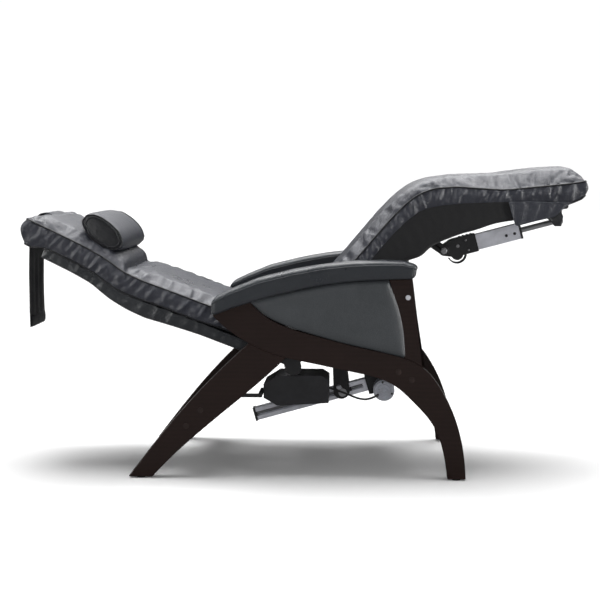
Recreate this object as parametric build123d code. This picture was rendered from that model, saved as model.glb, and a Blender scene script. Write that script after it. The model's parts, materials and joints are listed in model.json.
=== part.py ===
from build123d import *
import math
import os

# Powered lounge recliner, lying back. Millimetres, +Z up, origin on the floor under the middle.
# The sitter faces +X, so "left" is +Y and "right" is -Y.

# Driving dimensions
WOOD_OUT = 346.0          # outer face of the wood sides, from the middle plane
WOOD_IN = 308.0           # inner face of the wood sides
CUSHION_HALF = 265.0      # half width of every cushion
ARM_OUT = 367.0           # outer edge of the arm pads
ARM_IN = 272.0            # inner edge of the arm pads
GLIDE = 5.0               # height of the floor glides
CROWN = 25.0              # how far back and seat cushions rise above their seams
CUSHION_DEEP = 60.0       # depth of a cushion below its seam line
RAIL_LEVEL = 76.0         # depth of the steel rails' centre line below the seams
SHELL_DEEP = 92.0         # depth of the back shell's outside below the seams

# The sitting line, seen from the side, at the seams
HEAD_END = (-866.0, 818.0)
HEAD_CREASE = (-552.0, 645.0)
HIP = (-32.0, 440.0)
KNEE = (352.0, 872.0)

# Hinge centres, all of them along Y
RECLINE_AXIS = (-58.0, 512.0)
KNEE_AXIS = (432.0, 822.0)
BARREL_AXIS = (478.0, 705.0)
ROD_END = (853.0, 804.0)
FLAP_AXIS = (-892.5, 718.5)
SLIDER_PIN = (143.0, 231.0)
RAIL_SLOPE = 15.5         # degrees, rising towards the feet
HIP_TUBE = (-11.0, 350.0)
TUBE_R = 17.0
PIN_R = 6.0
RUNNING = 0.08            # radial clearance of a turning pin
SLOT_SLACK = 2.6          # room for the slider pin in the drive arms' slots
PANEL_INSET = 5.0         # how far a side panel's back stands in from the wood's inner face
PANEL_PROUD = 4.0         # how far a side panel stands proud of the wood
BEYOND = 1.0              # how far a cutting block runs past what it cuts
ROD_SLACK = 4.7           # room for the clevis pin in the rod bracket

SIDES = {"left": 1, "right": -1}

os.makedirs("parts", exist_ok=True)


def save(name, *solids):
    """Write one named sub-part, made of one or more separate solids."""
    found = [s for item in solids for s in item.solids()]
    shape = found[0] if len(found) == 1 else Compound(children=found)
    export_step(shape, f"parts/{name}.step")


def place(x, z, y=0.0):
    return Vector(x, y, z)


def direction(a, b):
    """Unit vector from a to b in the side view, and the one square to it on the lower side."""
    length = math.dist(a, b)
    along = ((b[0] - a[0]) / length, (b[1] - a[1]) / length)
    return along, (along[1], -along[0]), length


def station(a, b, along, deep):
    """Point at a distance along the line from a to b and at a depth below it."""
    d, n, _ = direction(a, b)
    return (a[0] + d[0] * along + n[0] * deep, a[1] + d[1] * along + n[1] * deep)


def on_side(side, y0, y1):
    """Lowest and highest Y of a piece between two distances from the middle plane."""
    return (y0, y1) if side > 0 else (-y1, -y0)


def slab(outline, y0, y1):
    """Prism of a side-view outline between two Y values. The outline is points or edges."""
    if isinstance(outline[0], tuple):
        edges = Polyline([place(x, z, y0) for x, z in outline], close=True).edges()
    else:
        edges = [edge.translate(Vector(0, y0, 0)) for edge in outline]
    return Solid.extrude(Face(Wire(edges)), Vector(0, y1 - y0, 0))


def curve(points):
    return Spline([place(x, z) for x, z in points]).edge()


def line(a, b):
    return Edge.make_line(place(*a), place(*b))


def rod(centre, radius, y0, y1):
    """Cylinder along Y."""
    plane = Plane(origin=place(*centre, y0), z_dir=(0, 1, 0))
    return Solid.make_cylinder(radius, y1 - y0, plane)


def link(a, ra, b, rb, y0, y1):
    """Flat link with a round end at a and another at b."""
    _, _, length = direction(a, b)
    base = math.atan2(b[1] - a[1], b[0] - a[0])
    lean = math.acos((ra - rb) / length)
    ends = [(a, ra, base + lean), (b, rb, base + lean), (b, rb, base - lean), (a, ra, base - lean)]
    web = [(c[0] + r * math.cos(t), c[1] + r * math.sin(t)) for c, r, t in ends]
    return slab(web, y0, y1) + rod(a, ra, y0, y1) + rod(b, rb, y0, y1)


def beam_bar(centre, along, high, angle, y0, y1):
    """Rectangular bar across the chair, turned to an angle in the side view."""
    t = math.radians(angle)
    corners = [(-1, -1), (1, -1), (1, 1), (-1, 1)]
    outline = []
    for i, j in corners:
        u, w = i * along / 2, j * high / 2
        x = centre[0] + u * math.cos(t) - w * math.sin(t)
        z = centre[1] + u * math.sin(t) + w * math.cos(t)
        outline.append((x, z))
    return slab(outline, y0, y1)


# Wood sides, arm rests and side panels
ARM_LINE = [(-258, 519), (-202, 542), (-107, 571), (-11, 595), (83, 615), (178, 627), (272, 632), (357, 635)]
ARM_TOP = [(366, 680), (333, 690), (272, 692), (178, 689), (83, 679), (-11, 662), (-121, 635), (-202, 602),
           (-262, 572)]
BOARD = 10.0


def raised(points, height):
    return [(x, z + height) for x, z in points]


def arm_board(side):
    low, high = ARM_LINE, raised(ARM_LINE, BOARD)
    edges = [curve(low), line(low[-1], high[-1]), curve(high[::-1]), line(high[0], low[0])]
    return slab(edges, *on_side(side, ARM_IN + 10, ARM_OUT - 10))


def arm_pad(side):
    low = raised(ARM_LINE, BOARD)
    nose = (377, 664)
    front = ThreePointArc(place(*low[-1]), place(*nose), place(*ARM_TOP[0])).edge()
    edges = [curve(low), front, curve(ARM_TOP), line(ARM_TOP[-1], low[0])]
    return slab(edges, *on_side(side, ARM_IN, ARM_OUT))


def arm_space(side):
    """Everything above the underside of the arm board."""
    low, top, front = ARM_LINE, 760, 385
    edges = [curve(low), line(low[-1], (front, 637)), line((front, 637), (front, top)),
             line((front, top), (-258, top)), line((-258, top), low[0])]
    return slab(edges, *on_side(side, WOOD_IN - 20, ARM_OUT))


def beam_leg(side):
    """Curved beam and front leg, sawn from one board."""
    top = [(-145, 562), (-80, 506), (60, 455), (230, 412), (343, 384), (405, 350), (452, 292), (492, 215),
           (522, 110), (533, GLIDE)]
    low = [(476, GLIDE), (465, 78), (428, 178), (370, 246), (302, 304), (180, 342), (60, 367), (-60, 395),
           (-157, 437), (-262, 519)]
    edges = [curve(top), line(top[-1], low[0]), curve(low), line(low[-1], top[0])]
    return slab(edges, *on_side(side, WOOD_IN, WOOD_OUT)) - arm_space(side)


def rear_leg(side):
    front = [(-455, GLIDE), (-260, 187), (-119, 305), (-15, 402)]
    rear = [(-135, 445), (-223, 362), (-311, 274), (-432, 134), (-532, GLIDE)]
    edges = [curve(front), line(front[-1], rear[0]), curve(rear), line(rear[-1], front[0])]
    return slab(edges, *on_side(side, WOOD_IN, WOOD_OUT)) - beam_leg(side)


def arm_post(side):
    outline = [(286, 650), (315, 547), (341, 360), (400, 340), (361, 650)]
    return slab(outline, *on_side(side, WOOD_IN, WOOD_OUT)) - beam_leg(side) - arm_space(side)


def side_panel(side):
    outline = [(-148, 562), (-80, 490), (60, 440), (345, 370), (345, 650), (-148, 650)]
    board = slab(outline, *on_side(side, WOOD_IN + PANEL_INSET, WOOD_OUT + PANEL_PROUD))
    cutter = slab([(286, 651), (315, 547), (341, 360), (460, 340), (460, 651)],
                  *on_side(side, WOOD_IN, WOOD_OUT + 2 * PANEL_PROUD))
    above_beam = slab([(-148, 560), (-80, 506), (60, 455), (230, 412), (343, 384), (343, 660), (-148, 660)],
                      *on_side(side, WOOD_IN, WOOD_OUT + 2 * PANEL_PROUD))
    kept = (board & above_beam) - cutter - arm_space(side)
    return (kept - beam_leg(side) - arm_post(side)).solids().sort_by(SortBy.VOLUME)[-1]


for name, side in SIDES.items():
    save(f"{name}_beam_leg", beam_leg(side))
    save(f"{name}_rear_leg", rear_leg(side).solids().sort_by(SortBy.VOLUME)[-1])
    save(f"{name}_arm_post", arm_post(side).solids().sort_by(SortBy.VOLUME)[-1])
    save(f"{name}_side_panel", side_panel(side))
    save(f"{name}_arm_pad", arm_pad(side))
save("arm_boards", *[arm_board(side) for side in SIDES.values()])

# Cross rails, plugs, bolts and glides
FRONT_RAIL = (342.0, 331.0)
REAR_RAIL = (-324.0, 193.0)
FRONT_ANGLE = -31.0
REAR_ANGLE = 48.0
PLUG_SPACING = {FRONT_RAIL: (FRONT_ANGLE, 48.0), REAR_RAIL: (REAR_ANGLE, 68.0)}
FEET = (-493.5, 504.5)    # X of the glides under the rear and the front legs
PLUG_R = 9.0
PLUG_PROUD = 1.5
BOLT = (349.0, 577.0)
BOLT_R = 8.0
BOLT_HEAD = 3.0
GLIDE_R = 13.0
RAIL_THICK = 24.0

save("front_cross_rail", beam_bar(FRONT_RAIL, 92, RAIL_THICK, FRONT_ANGLE, -WOOD_IN, WOOD_IN))
save("rear_cross_rail", beam_bar(REAR_RAIL, 108, RAIL_THICK, REAR_ANGLE, -WOOD_IN, WOOD_IN))

plugs, bolts, glides = [], [], []
for side in SIDES.values():
    for centre, (angle, spacing) in PLUG_SPACING.items():
        t = math.radians(angle)
        for half in (-spacing / 2, spacing / 2):
            spot = (centre[0] + half * math.cos(t), centre[1] + half * math.sin(t))
            plugs.append(rod(spot, PLUG_R, *on_side(side, WOOD_OUT, WOOD_OUT + PLUG_PROUD)))
    bolts.append(rod(BOLT, BOLT_R, *on_side(side, WOOD_OUT, WOOD_OUT + BOLT_HEAD)))
    for x in FEET:
        middle = side * (WOOD_IN + WOOD_OUT) / 2
        glides.append(Solid.make_cylinder(GLIDE_R, GLIDE, Plane(origin=(x, middle, 0))))
save("wood_plugs", *plugs)
save("post_bolts", *bolts)
save("floor_glides", *glides)

# Recline hinge: plates on the wood, pins, and plates on the moving frame
PIVOT_IN = WOOD_IN - 5    # inner face of the plates on the wood
HINGE_OUT = PIVOT_IN - 4  # outer face of the plates on the moving frame
HINGE_IN = HINGE_OUT - 12
PIN_HEAD_R = 13.0
PIN_HEAD = 4.0            # thickness of a pin's head
pivot_plates, pivot_pins, hinge_plates = [], [], []
for side in SIDES.values():
    foot = slab([(-112, 432), (-6, 404), (6, 452), (-96, 486)], *on_side(side, PIVOT_IN, WOOD_IN))
    pivot_plates.append(link(RECLINE_AXIS, 26, (-52, 448), 24, *on_side(side, PIVOT_IN, WOOD_IN)) + foot)
    stub = rod(RECLINE_AXIS, PIN_R, *on_side(side, HINGE_IN - BEYOND, PIVOT_IN))
    head_y = on_side(side, HINGE_IN - BEYOND - PIN_HEAD, HINGE_IN - BEYOND)
    pivot_pins.append(stub + rod(RECLINE_AXIS, PIN_HEAD_R, *head_y))
    plate = link(RECLINE_AXIS, 24, HIP_TUBE, 26, *on_side(side, HINGE_IN, HINGE_OUT))
    bore_y = on_side(side, HINGE_IN - BEYOND, HINGE_OUT + BEYOND)
    hinge_plates.append(plate - rod(RECLINE_AXIS, PIN_R + RUNNING, *bore_y))
save("pivot_plates", *pivot_plates)
save("pivot_pins", *pivot_pins)
save("hinge_plates", *hinge_plates)

# Recline drive: rail, screw, gearbox and motor on the base, and the slider that the screw pulls
slope = math.radians(RAIL_SLOPE)
RAIL_HIGH, RAIL_WIDE, RAIL_WALL = 42.0, 44.0, 3.0
RAIL_LEFT, RAIL_RIGHT = -302.0, 84.0
along_slope = (math.cos(slope), 0, math.sin(slope))


def along_rail(s, w=0.0):
    """Point in the rail's own frame: s along it from the slider pin, w square to it and up."""
    x = SLIDER_PIN[0] + s * math.cos(slope) - w * math.sin(slope)
    z = SLIDER_PIN[1] + s * math.sin(slope) + w * math.cos(slope)
    return (x, z)


def rail_box(s0, s1, wide, w0, w1):
    """Box in the rail's own frame, centred across the chair."""
    corners = [(s0, w0), (s1, w0), (s1, w1), (s0, w1)]
    return slab([along_rail(*corner) for corner in corners], -wide / 2, wide / 2)


half = RAIL_HIGH / 2
rail = rail_box(RAIL_LEFT, RAIL_RIGHT, RAIL_WIDE, -half, half)
cut_ends = (RAIL_LEFT - BEYOND, RAIL_RIGHT + BEYOND)
rail -= rail_box(*cut_ends, RAIL_WIDE - 2 * RAIL_WALL, RAIL_WALL - half, half - RAIL_WALL)
rail -= rail_box(*cut_ends, RAIL_WIDE + 2 * BEYOND, -PIN_R - 1, PIN_R + 1)
lower_rail, upper_rail = rail.solids()
web = rail_box(RAIL_RIGHT - 14, RAIL_RIGHT, RAIL_WIDE, -half, half)
web -= rail_box(RAIL_RIGHT - 20, RAIL_RIGHT + 1, 16, -8, 8)
save("actuator_rail", lower_rail + upper_rail + web)
save("rail_end_cap", rail_box(RAIL_LEFT - 8, RAIL_LEFT, RAIL_WIDE + 4, -half - 2, half + 2))

screw_plane = Plane(origin=place(*along_rail(RAIL_LEFT)), z_dir=along_slope)
save("lead_screw", Solid.make_cylinder(PIN_R - 1, RAIL_RIGHT - RAIL_LEFT, screw_plane))

BLOCK_LONG = 60.0
block = rail_box(-BLOCK_LONG / 2, BLOCK_LONG / 2, RAIL_WIDE - 2 * RAIL_WALL - 2, -16, 16)
bore_plane = Plane(origin=place(*along_rail(-BLOCK_LONG)), z_dir=along_slope)
save("slider_block", block - Solid.make_cylinder(PIN_R, 2 * BLOCK_LONG, bore_plane))

ARM_PLATE_IN, ARM_PLATE_OUT = 45.0, 51.0
WASHER_R = 14.0
slider_pins, slider_washers = [], []
for side in SIDES.values():
    slider_pins.append(rod(SLIDER_PIN, PIN_R, *on_side(side, 18, ARM_PLATE_OUT + 5)))
    ring = rod(SLIDER_PIN, WASHER_R, *on_side(side, ARM_PLATE_OUT + 0.5, ARM_PLATE_OUT + 4))
    slider_washers.append(ring - rod(SLIDER_PIN, PIN_R, *on_side(side, ARM_PLATE_OUT, ARM_PLATE_OUT + 5)))
save("slider_pins", *slider_pins)
save("slider_washers", *slider_washers)

GEARBOX = (274.0, 254.0)
GEARBOX_HALF = 33.0       # half width of the gearbox
MOTOR = (280.0, 247.0)
MOTOR_R = 35.0
MOTOR_END = -106.0        # Y of the motor's outer end
gearbox = link(GEARBOX, GEARBOX_HALF + 1, along_rail(RAIL_RIGHT + 24), 23, -GEARBOX_HALF, GEARBOX_HALF)
gearbox += rail_box(RAIL_RIGHT, RAIL_RIGHT + 30, 64, -GEARBOX_HALF, GEARBOX_HALF)
save("gearbox_housing", gearbox)
save("motor_can", rod(MOTOR, MOTOR_R, MOTOR_END, -GEARBOX_HALF))
end_cap = rod(MOTOR, MOTOR_R - 4, MOTOR_END - 6, MOTOR_END)
save("motor_end_cap", end_cap + rod(MOTOR, 10, MOTOR_END - 12, MOTOR_END - 6))

BRACKET_HALF = 48.0
bracket = beam_bar((331.5, 313.0), 84, 6, FRONT_ANGLE, -BRACKET_HALF, BRACKET_HALF)
for side in SIDES.values():
    ear_y = on_side(side, GEARBOX_HALF + 0.3, GEARBOX_HALF + 6)
    bracket += slab([(262, 262), (292, 232), (356, 288), (296, 329)], *ear_y)
bracket_cut = beam_bar(FRONT_RAIL, 140, RAIL_THICK + 0.02, FRONT_ANGLE, -2 * BRACKET_HALF, 2 * BRACKET_HALF)
save("motor_bracket", (bracket - bracket_cut).solids().sort_by(SortBy.VOLUME)[-1])

# Control box, the bar that carries it, and the lead to the motor
BOX_NEAR, BOX_FAR = -230.0, -70.0
box_outline = [(-63, 314), (-110, 285), (-110, 240), (-66, 215), (100, 224), (100, 300), (78, 314)]
save("control_box", slab(box_outline, BOX_NEAR, BOX_FAR))
bar = slab([(-235, 254), (-110, 254), (-110, 266), (-235, 266)], -WOOD_IN, -WOOD_IN + 8)
bar += slab([(-122, 254), (-110, 254), (-110, 266), (-122, 266)], -WOOD_IN, -180)
save("control_box_bar", bar)
LEAD_R = 3.5
lead_points = [Vector(100, -150, 262), Vector(150, -148, 246), Vector(196, -140, 224), Vector(234, -128, 220),
               Vector(262, -110.5, 234)]


def tube_along(points, radius):
    """Round tube along straight runs joined by arcs as large as the runs allow."""
    radii = []
    for before, here, after in zip(points, points[1:], points[2:]):
        turn = (here - before).get_angle(after - here)
        run = min((here - before).length, (after - here).length)
        radii.append(0.45 * run / math.tan(math.radians(turn) / 2))
    print("lead radii", [round(r) for r in radii])
    path = FilletPolyline(*points, radius=radii)
    start = Plane(origin=points[0], z_dir=points[1] - points[0])
    return sweep(start * Circle(radius), path=path)


save("motor_lead", tube_along(lead_points, LEAD_R))

# Moving frame: hip tube, seat rails, back rails, drive arms
TOP_TUBE = station(HEAD_END, HEAD_CREASE, 110, RAIL_LEVEL)
MID_TUBE = station(HIP, KNEE, 143, RAIL_LEVEL)
FRONT_TUBE = station(HIP, KNEE, 520, RAIL_LEVEL)
RAIL_Y = (222.0, 246.0)
SEAT_TUBE_R = 11.0
TOP_TUBE_R = 9.0
BAR_UP, BAR_DOWN = 11.0, 10.0    # how far a seat or back rail reaches above and below its centre line
hip_tube = rod(HIP_TUBE, TUBE_R, -HINGE_IN, HINGE_IN)
save("hip_tube", hip_tube)
save("seat_tubes", *[rod(centre, SEAT_TUBE_R, -RAIL_Y[0], RAIL_Y[0]) for centre in (MID_TUBE, FRONT_TUBE)])
save("back_top_tube", rod(TOP_TUBE, TOP_TUBE_R, -RAIL_Y[0], RAIL_Y[0]))


def rail_strip(a, b, start, stop, side):
    """Flat steel rail below the line from a to b, between two stations."""
    near, far = RAIL_LEVEL - BAR_UP, RAIL_LEVEL + BAR_DOWN
    corners = [station(a, b, start, near), station(a, b, stop, near), station(a, b, stop, far),
               station(a, b, start, far)]
    return slab(corners, *on_side(side, *RAIL_Y))


BACK_LONG = math.dist(HEAD_CREASE, HIP)
SEAT_LONG = math.dist(HIP, KNEE)
HEAD_LONG = math.dist(HEAD_END, HEAD_CREASE)
back_rails, drive_arms = [], []
for name, side in SIDES.items():
    seat_rail = rail_strip(HIP, KNEE, -56, SEAT_LONG - 6, side)
    seat_rail += rod(KNEE_AXIS, 16, *on_side(side, *RAIL_Y))
    seat_rail += link(FRONT_TUBE, 12, KNEE_AXIS, 12, *on_side(side, *RAIL_Y))
    save(f"{name}_seat_rail", (seat_rail - hip_tube).solids().sort_by(SortBy.VOLUME)[-1])
    lower = rail_strip(HEAD_CREASE, HIP, 0, BACK_LONG + 60, side)
    upper = rail_strip(HEAD_END, HEAD_CREASE, 96, HEAD_LONG + 3, side)
    joined = lower + upper - rail_strip(HIP, KNEE, -90, SEAT_LONG, side)
    back_rails.append((joined - hip_tube).solids().sort_by(SortBy.VOLUME)[-1])
    arm_y = on_side(side, ARM_PLATE_IN, ARM_PLATE_OUT)
    arm_line = direction(RECLINE_AXIS, SLIDER_PIN)[0]
    reach = math.dist(RECLINE_AXIS, SLIDER_PIN)
    tip = (RECLINE_AXIS[0] + arm_line[0] * (reach - 6), RECLINE_AXIS[1] + arm_line[1] * (reach - 6))
    slot_ends = [(RECLINE_AXIS[0] + arm_line[0] * r, RECLINE_AXIS[1] + arm_line[1] * r)
                 for r in (reach - 22, reach + 1)]
    slot = link(slot_ends[0], PIN_R + SLOT_SLACK, slot_ends[1], PIN_R + SLOT_SLACK - 0.001,
                *on_side(side, ARM_PLATE_IN - 2, ARM_PLATE_OUT + 2))
    arm = link(MID_TUBE, 15.5, tip, 27, *arm_y) + link(HIP_TUBE, 15.6, MID_TUBE, 15.4, *arm_y)
    drive_arms.append(arm - slot - hip_tube - rod(MID_TUBE, SEAT_TUBE_R, *arm_y))
save("back_rails", *back_rails)
save("drive_arms", *drive_arms)

# Sinuous springs under the seat
SPRING_R = 1.8
SPRING_LEVEL = CUSHION_DEEP + 2.6
SPRING_TURNS = 14
SPRING_PITCH = 28.5
SPRING_SWING = 18.0       # half width of the zigzag
SPRING_BEND = 9.0
SPRING_Y = (-160, -80, 0, 80, 160)


def spring(y):
    """Zigzag wire from the middle tube to the front tube, under the seat cushion."""
    points = []
    for i in range(SPRING_TURNS):
        x, z = station(HIP, KNEE, 146 + i * SPRING_PITCH, SPRING_LEVEL)
        points.append(Vector(x, y + (SPRING_SWING if i % 2 else -SPRING_SWING), z))
    path = FilletPolyline(*points, radius=SPRING_BEND)
    start = Plane(origin=points[0], z_dir=points[1] - points[0])
    return sweep(start * Circle(SPRING_R), path=path)


save("seat_springs", *[spring(y) for y in SPRING_Y])

# Cushions, back shell and covers
head_outline = [station(HEAD_END, HEAD_CREASE, *p) for p in
                ((2, -CROWN + 12), (18, -CROWN), (HEAD_LONG - 4, -CROWN), (HEAD_LONG - 1, CUSHION_DEEP),
                 (91, CUSHION_DEEP), (89, 84), (52, 86), (32, 74), (4, 52), (-2, 20))]
save("head_cushion", slab(head_outline, -CUSHION_HALF, CUSHION_HALF))
lumbar_outline = [station(HEAD_CREASE, HIP, *p) for p in
                  ((3, -CROWN), (BACK_LONG - 22, -CROWN), (BACK_LONG - 6, 0), (BACK_LONG - 6, CUSHION_DEEP),
                   (1, CUSHION_DEEP))]
save("lumbar_cushion", slab(lumbar_outline, -CUSHION_HALF, CUSHION_HALF))
seat_outline = [station(HIP, KNEE, *p) for p in ((6, 0), (22, -CROWN), (SEAT_LONG - 50, -CROWN - 4))]
seat_outline += [(352, 912), (401, 934), (412, 842), (400, 834)]
seat_outline += [station(HIP, KNEE, s, CUSHION_DEEP) for s in (SEAT_LONG - 20, 6)]
save("seat_cushion", slab(seat_outline, -CUSHION_HALF, CUSHION_HALF))
leg_outline = [(405, 936), (440, 948), (540, 953), (655, 952), (790, 969), (880, 974), (906, 962), (917, 930),
               (908, 886), (870, 868), (671, 867), (520, 862), (416, 848)]
save("leg_cushion", slab(leg_outline, -CUSHION_HALF, CUSHION_HALF))

SHELL_WALL = 4.0


def shell_block(top, bottom, inset, half_width):
    points = [station(HEAD_END, HEAD_CREASE, 92 + inset, top), station(HEAD_CREASE, HIP, 0, top),
              station(HEAD_CREASE, HIP, BACK_LONG - 74 - inset, top),
              station(HEAD_CREASE, HIP, BACK_LONG - 74 - inset, bottom),
              station(HEAD_CREASE, HIP, -6, bottom), station(HEAD_END, HEAD_CREASE, 92 + inset, bottom)]
    return slab(points, -half_width, half_width)


SHELL_HALF = 262.0
back_shell = shell_block(CUSHION_DEEP + 1, SHELL_DEEP, 0, SHELL_HALF)
back_shell -= shell_block(CUSHION_DEEP - 5, SHELL_DEEP - SHELL_WALL, SHELL_WALL, SHELL_HALF - SHELL_WALL)
for side in SIDES.values():
    back_shell -= rail_strip(HEAD_CREASE, HIP, BACK_LONG - 90, BACK_LONG, side)
save("back_shell", back_shell)

COVER_HALF = 240.0
COVER_THICK = 3.0
sag = ((176, 92), (330, 104), (492, 92))
seat_cover = [station(HIP, KNEE, s, deep) for s, deep in sag]
seat_cover += [station(HIP, KNEE, s, deep + COVER_THICK) for s, deep in sag[::-1]]
save("seat_dust_cover", slab(seat_cover, -COVER_HALF, COVER_HALF))
leg_cover = [(456, 770), (540, 793), (680, 811), (832, 829)]
save("leg_dust_cover", slab(leg_cover + raised(leg_cover, COVER_THICK)[::-1], -COVER_HALF, COVER_HALF))

# Leg rest frame
LEG_RAIL_Y = (249.5, 261.0)
LEG_TUBE = (843.0, 858.5)
LEG_TUBE_R = 8.0
EAR_TOP = (849.0, 846.0)  # upper centre of the rod bracket's ears
CLEVIS_R = 5.0
leg_rails, knee_pins, leg_skirts = [], [], []
for side in SIDES.values():
    bar_y = on_side(side, *LEG_RAIL_Y)
    rail_piece = link(KNEE_AXIS, 16, LEG_TUBE, LEG_TUBE_R, *bar_y)
    bore_y = on_side(side, LEG_RAIL_Y[0] - BEYOND, LEG_RAIL_Y[1] + BEYOND)
    leg_rails.append(rail_piece - rod(KNEE_AXIS, PIN_R + RUNNING, *bore_y))
    knee_pins.append(rod(KNEE_AXIS, PIN_R, *on_side(side, RAIL_Y[1], LEG_RAIL_Y[1] + 0.6)))
    flap = [(663, 868.5), (687, 795), (811, 824), (826, 843), (866, 869)]
    leg_skirts.append(slab(flap, *on_side(side, 262, 265)))
save("leg_rails", *leg_rails)
save("knee_pins", *knee_pins)
skirt_cut = slab(leg_outline, -CUSHION_HALF - 1, CUSHION_HALF + 1)
save("leg_skirts", *[(s - skirt_cut).solids().sort_by(SortBy.VOLUME)[-1] for s in leg_skirts])
save("leg_tube", rod(LEG_TUBE, LEG_TUBE_R, -LEG_RAIL_Y[0], LEG_RAIL_Y[0]))

EAR = (15.0, 21.0)
rod_bracket = []
for side in SIDES.values():
    ear = link(EAR_TOP, 14, ROD_END, 17, *on_side(side, *EAR))
    ear -= rod(LEG_TUBE, LEG_TUBE_R, *on_side(side, *EAR))
    hole_y = on_side(side, EAR[0] - BEYOND, EAR[1] + BEYOND)
    rod_bracket.append(ear - rod(ROD_END, CLEVIS_R + ROD_SLACK, *hole_y))
save("rod_bracket", *rod_bracket)

# Leg rest actuator: bracket on the seat, housing, tube and rod
actuator_d, _, actuator_long = direction(BARREL_AXIS, ROD_END)


def on_actuator(along, deep):
    return station(BARREL_AXIS, ROD_END, along, deep)


def actuator_slab(s0, s1, up, down, half_width):
    corners = [on_actuator(s0, -up), on_actuator(s1, -up), on_actuator(s1, down), on_actuator(s0, down)]
    return slab(corners, -half_width, half_width)


def actuator_rod(radius, s0, s1):
    start = on_actuator(s0, 0)
    plane = Plane(origin=place(*start), z_dir=(actuator_d[0], 0, actuator_d[1]))
    return Solid.make_cylinder(radius, s1 - s0, plane)


LUG = (33.0, 38.0)
seat_bracket = []
for side in SIDES.values():
    ear = link(FRONT_TUBE, 15.5, BARREL_AXIS, 16, *on_side(side, *LUG))
    bore_y = on_side(side, LUG[0] - BEYOND, LUG[1] + BEYOND)
    ear -= rod(FRONT_TUBE, SEAT_TUBE_R, *bore_y)
    ear -= rod(BARREL_AXIS, PIN_R + RUNNING, *bore_y)
    seat_bracket.append(ear)
save("actuator_bracket", *seat_bracket)

HOUSING_END = 112.0
HOUSING_HALF = 30.0       # half width and half height of the housing
TUBE_END = 258.0
TUBE_HIGH, TUBE_WIDE = 26.0, 24.0    # half height and half width of the tube
CAP_LONG = 7.0
ROD_R = 9.0
housing = link(BARREL_AXIS, 17, on_actuator(36, 0), HOUSING_HALF, -HOUSING_HALF, HOUSING_HALF)
housing += actuator_slab(36, HOUSING_END, HOUSING_HALF, HOUSING_HALF, HOUSING_HALF)
housing += rod(on_actuator(40, 22), 20, -HOUSING_HALF + 4, HOUSING_HALF - 4)
housing += rod(BARREL_AXIS, PIN_R, -LUG[1] - 0.4, LUG[1] + 0.4)
save("leg_actuator_housing", housing)
tube_part = actuator_slab(HOUSING_END, TUBE_END, TUBE_HIGH, TUBE_HIGH, TUBE_WIDE)
save("leg_actuator_tube", tube_part - actuator_rod(15, HOUSING_END - BEYOND, TUBE_END + BEYOND))
cap = actuator_slab(TUBE_END, TUBE_END + CAP_LONG, TUBE_HIGH, TUBE_HIGH + 1, TUBE_WIDE + 1)
save("leg_tube_cap", cap - actuator_rod(ROD_R + 0.2, TUBE_END - BEYOND, TUBE_END + CAP_LONG + BEYOND))
leg_rod = actuator_rod(ROD_R, HOUSING_END + 62, actuator_long - 8) + rod(ROD_END, 13, -13, 13)
save("leg_actuator_rod", leg_rod + rod(ROD_END, CLEVIS_R, -EAR[1] - 3, EAR[1] + 3))

# Head pillow, its strap and the hanging counterweight flap
PILLOW_HALF = 230.0
PILLOW_LEAN = math.radians(-38)
PILLOW_LONG, PILLOW_HIGH = 74.0, 47.0    # half length and half height of the pillow's section
pillow_centre = station(HEAD_END, HEAD_CREASE, 222, -84)
pillow_plane = Plane(origin=place(*pillow_centre, -PILLOW_HALF), z_dir=(0, 1, 0),
                     x_dir=(math.cos(PILLOW_LEAN), 0, math.sin(PILLOW_LEAN)))
pillow_face = pillow_plane * Ellipse(PILLOW_LONG, PILLOW_HIGH)
save("head_pillow", extrude(pillow_face, amount=2 * PILLOW_HALF))
STRAP_HALF = 105.0
strap_line = [station(HEAD_END, HEAD_CREASE, *p) for p in
              ((235, -CROWN - 1), (235, -CROWN - 5), (15, -CROWN - 5), (-6, -CROWN + 7))]
strap_line += [(-885, 806), (-894.5, 774), (-894.5, 722), (-890.5, 722), (-890.5, 773), (-881, 804)]
strap_line += [station(HEAD_END, HEAD_CREASE, *p) for p in ((-2, -CROWN + 9), (16, -CROWN - 1))]
save("pillow_strap", slab(strap_line, -STRAP_HALF, STRAP_HALF))
flap = slab([(-895, 718), (-890, 718), (-889, 560), (-883, 470), (-886, 448), (-900, 448), (-903, 470),
             (-897, 560)], -STRAP_HALF, STRAP_HALF)
rolled_hem = rod(FLAP_AXIS, 3, -STRAP_HALF, STRAP_HALF)
save("counterweight_flap", flap + rolled_hem)
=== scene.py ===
import json
import math

import bmesh
import bpy
import numpy as np
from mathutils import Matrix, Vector, noise


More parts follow.
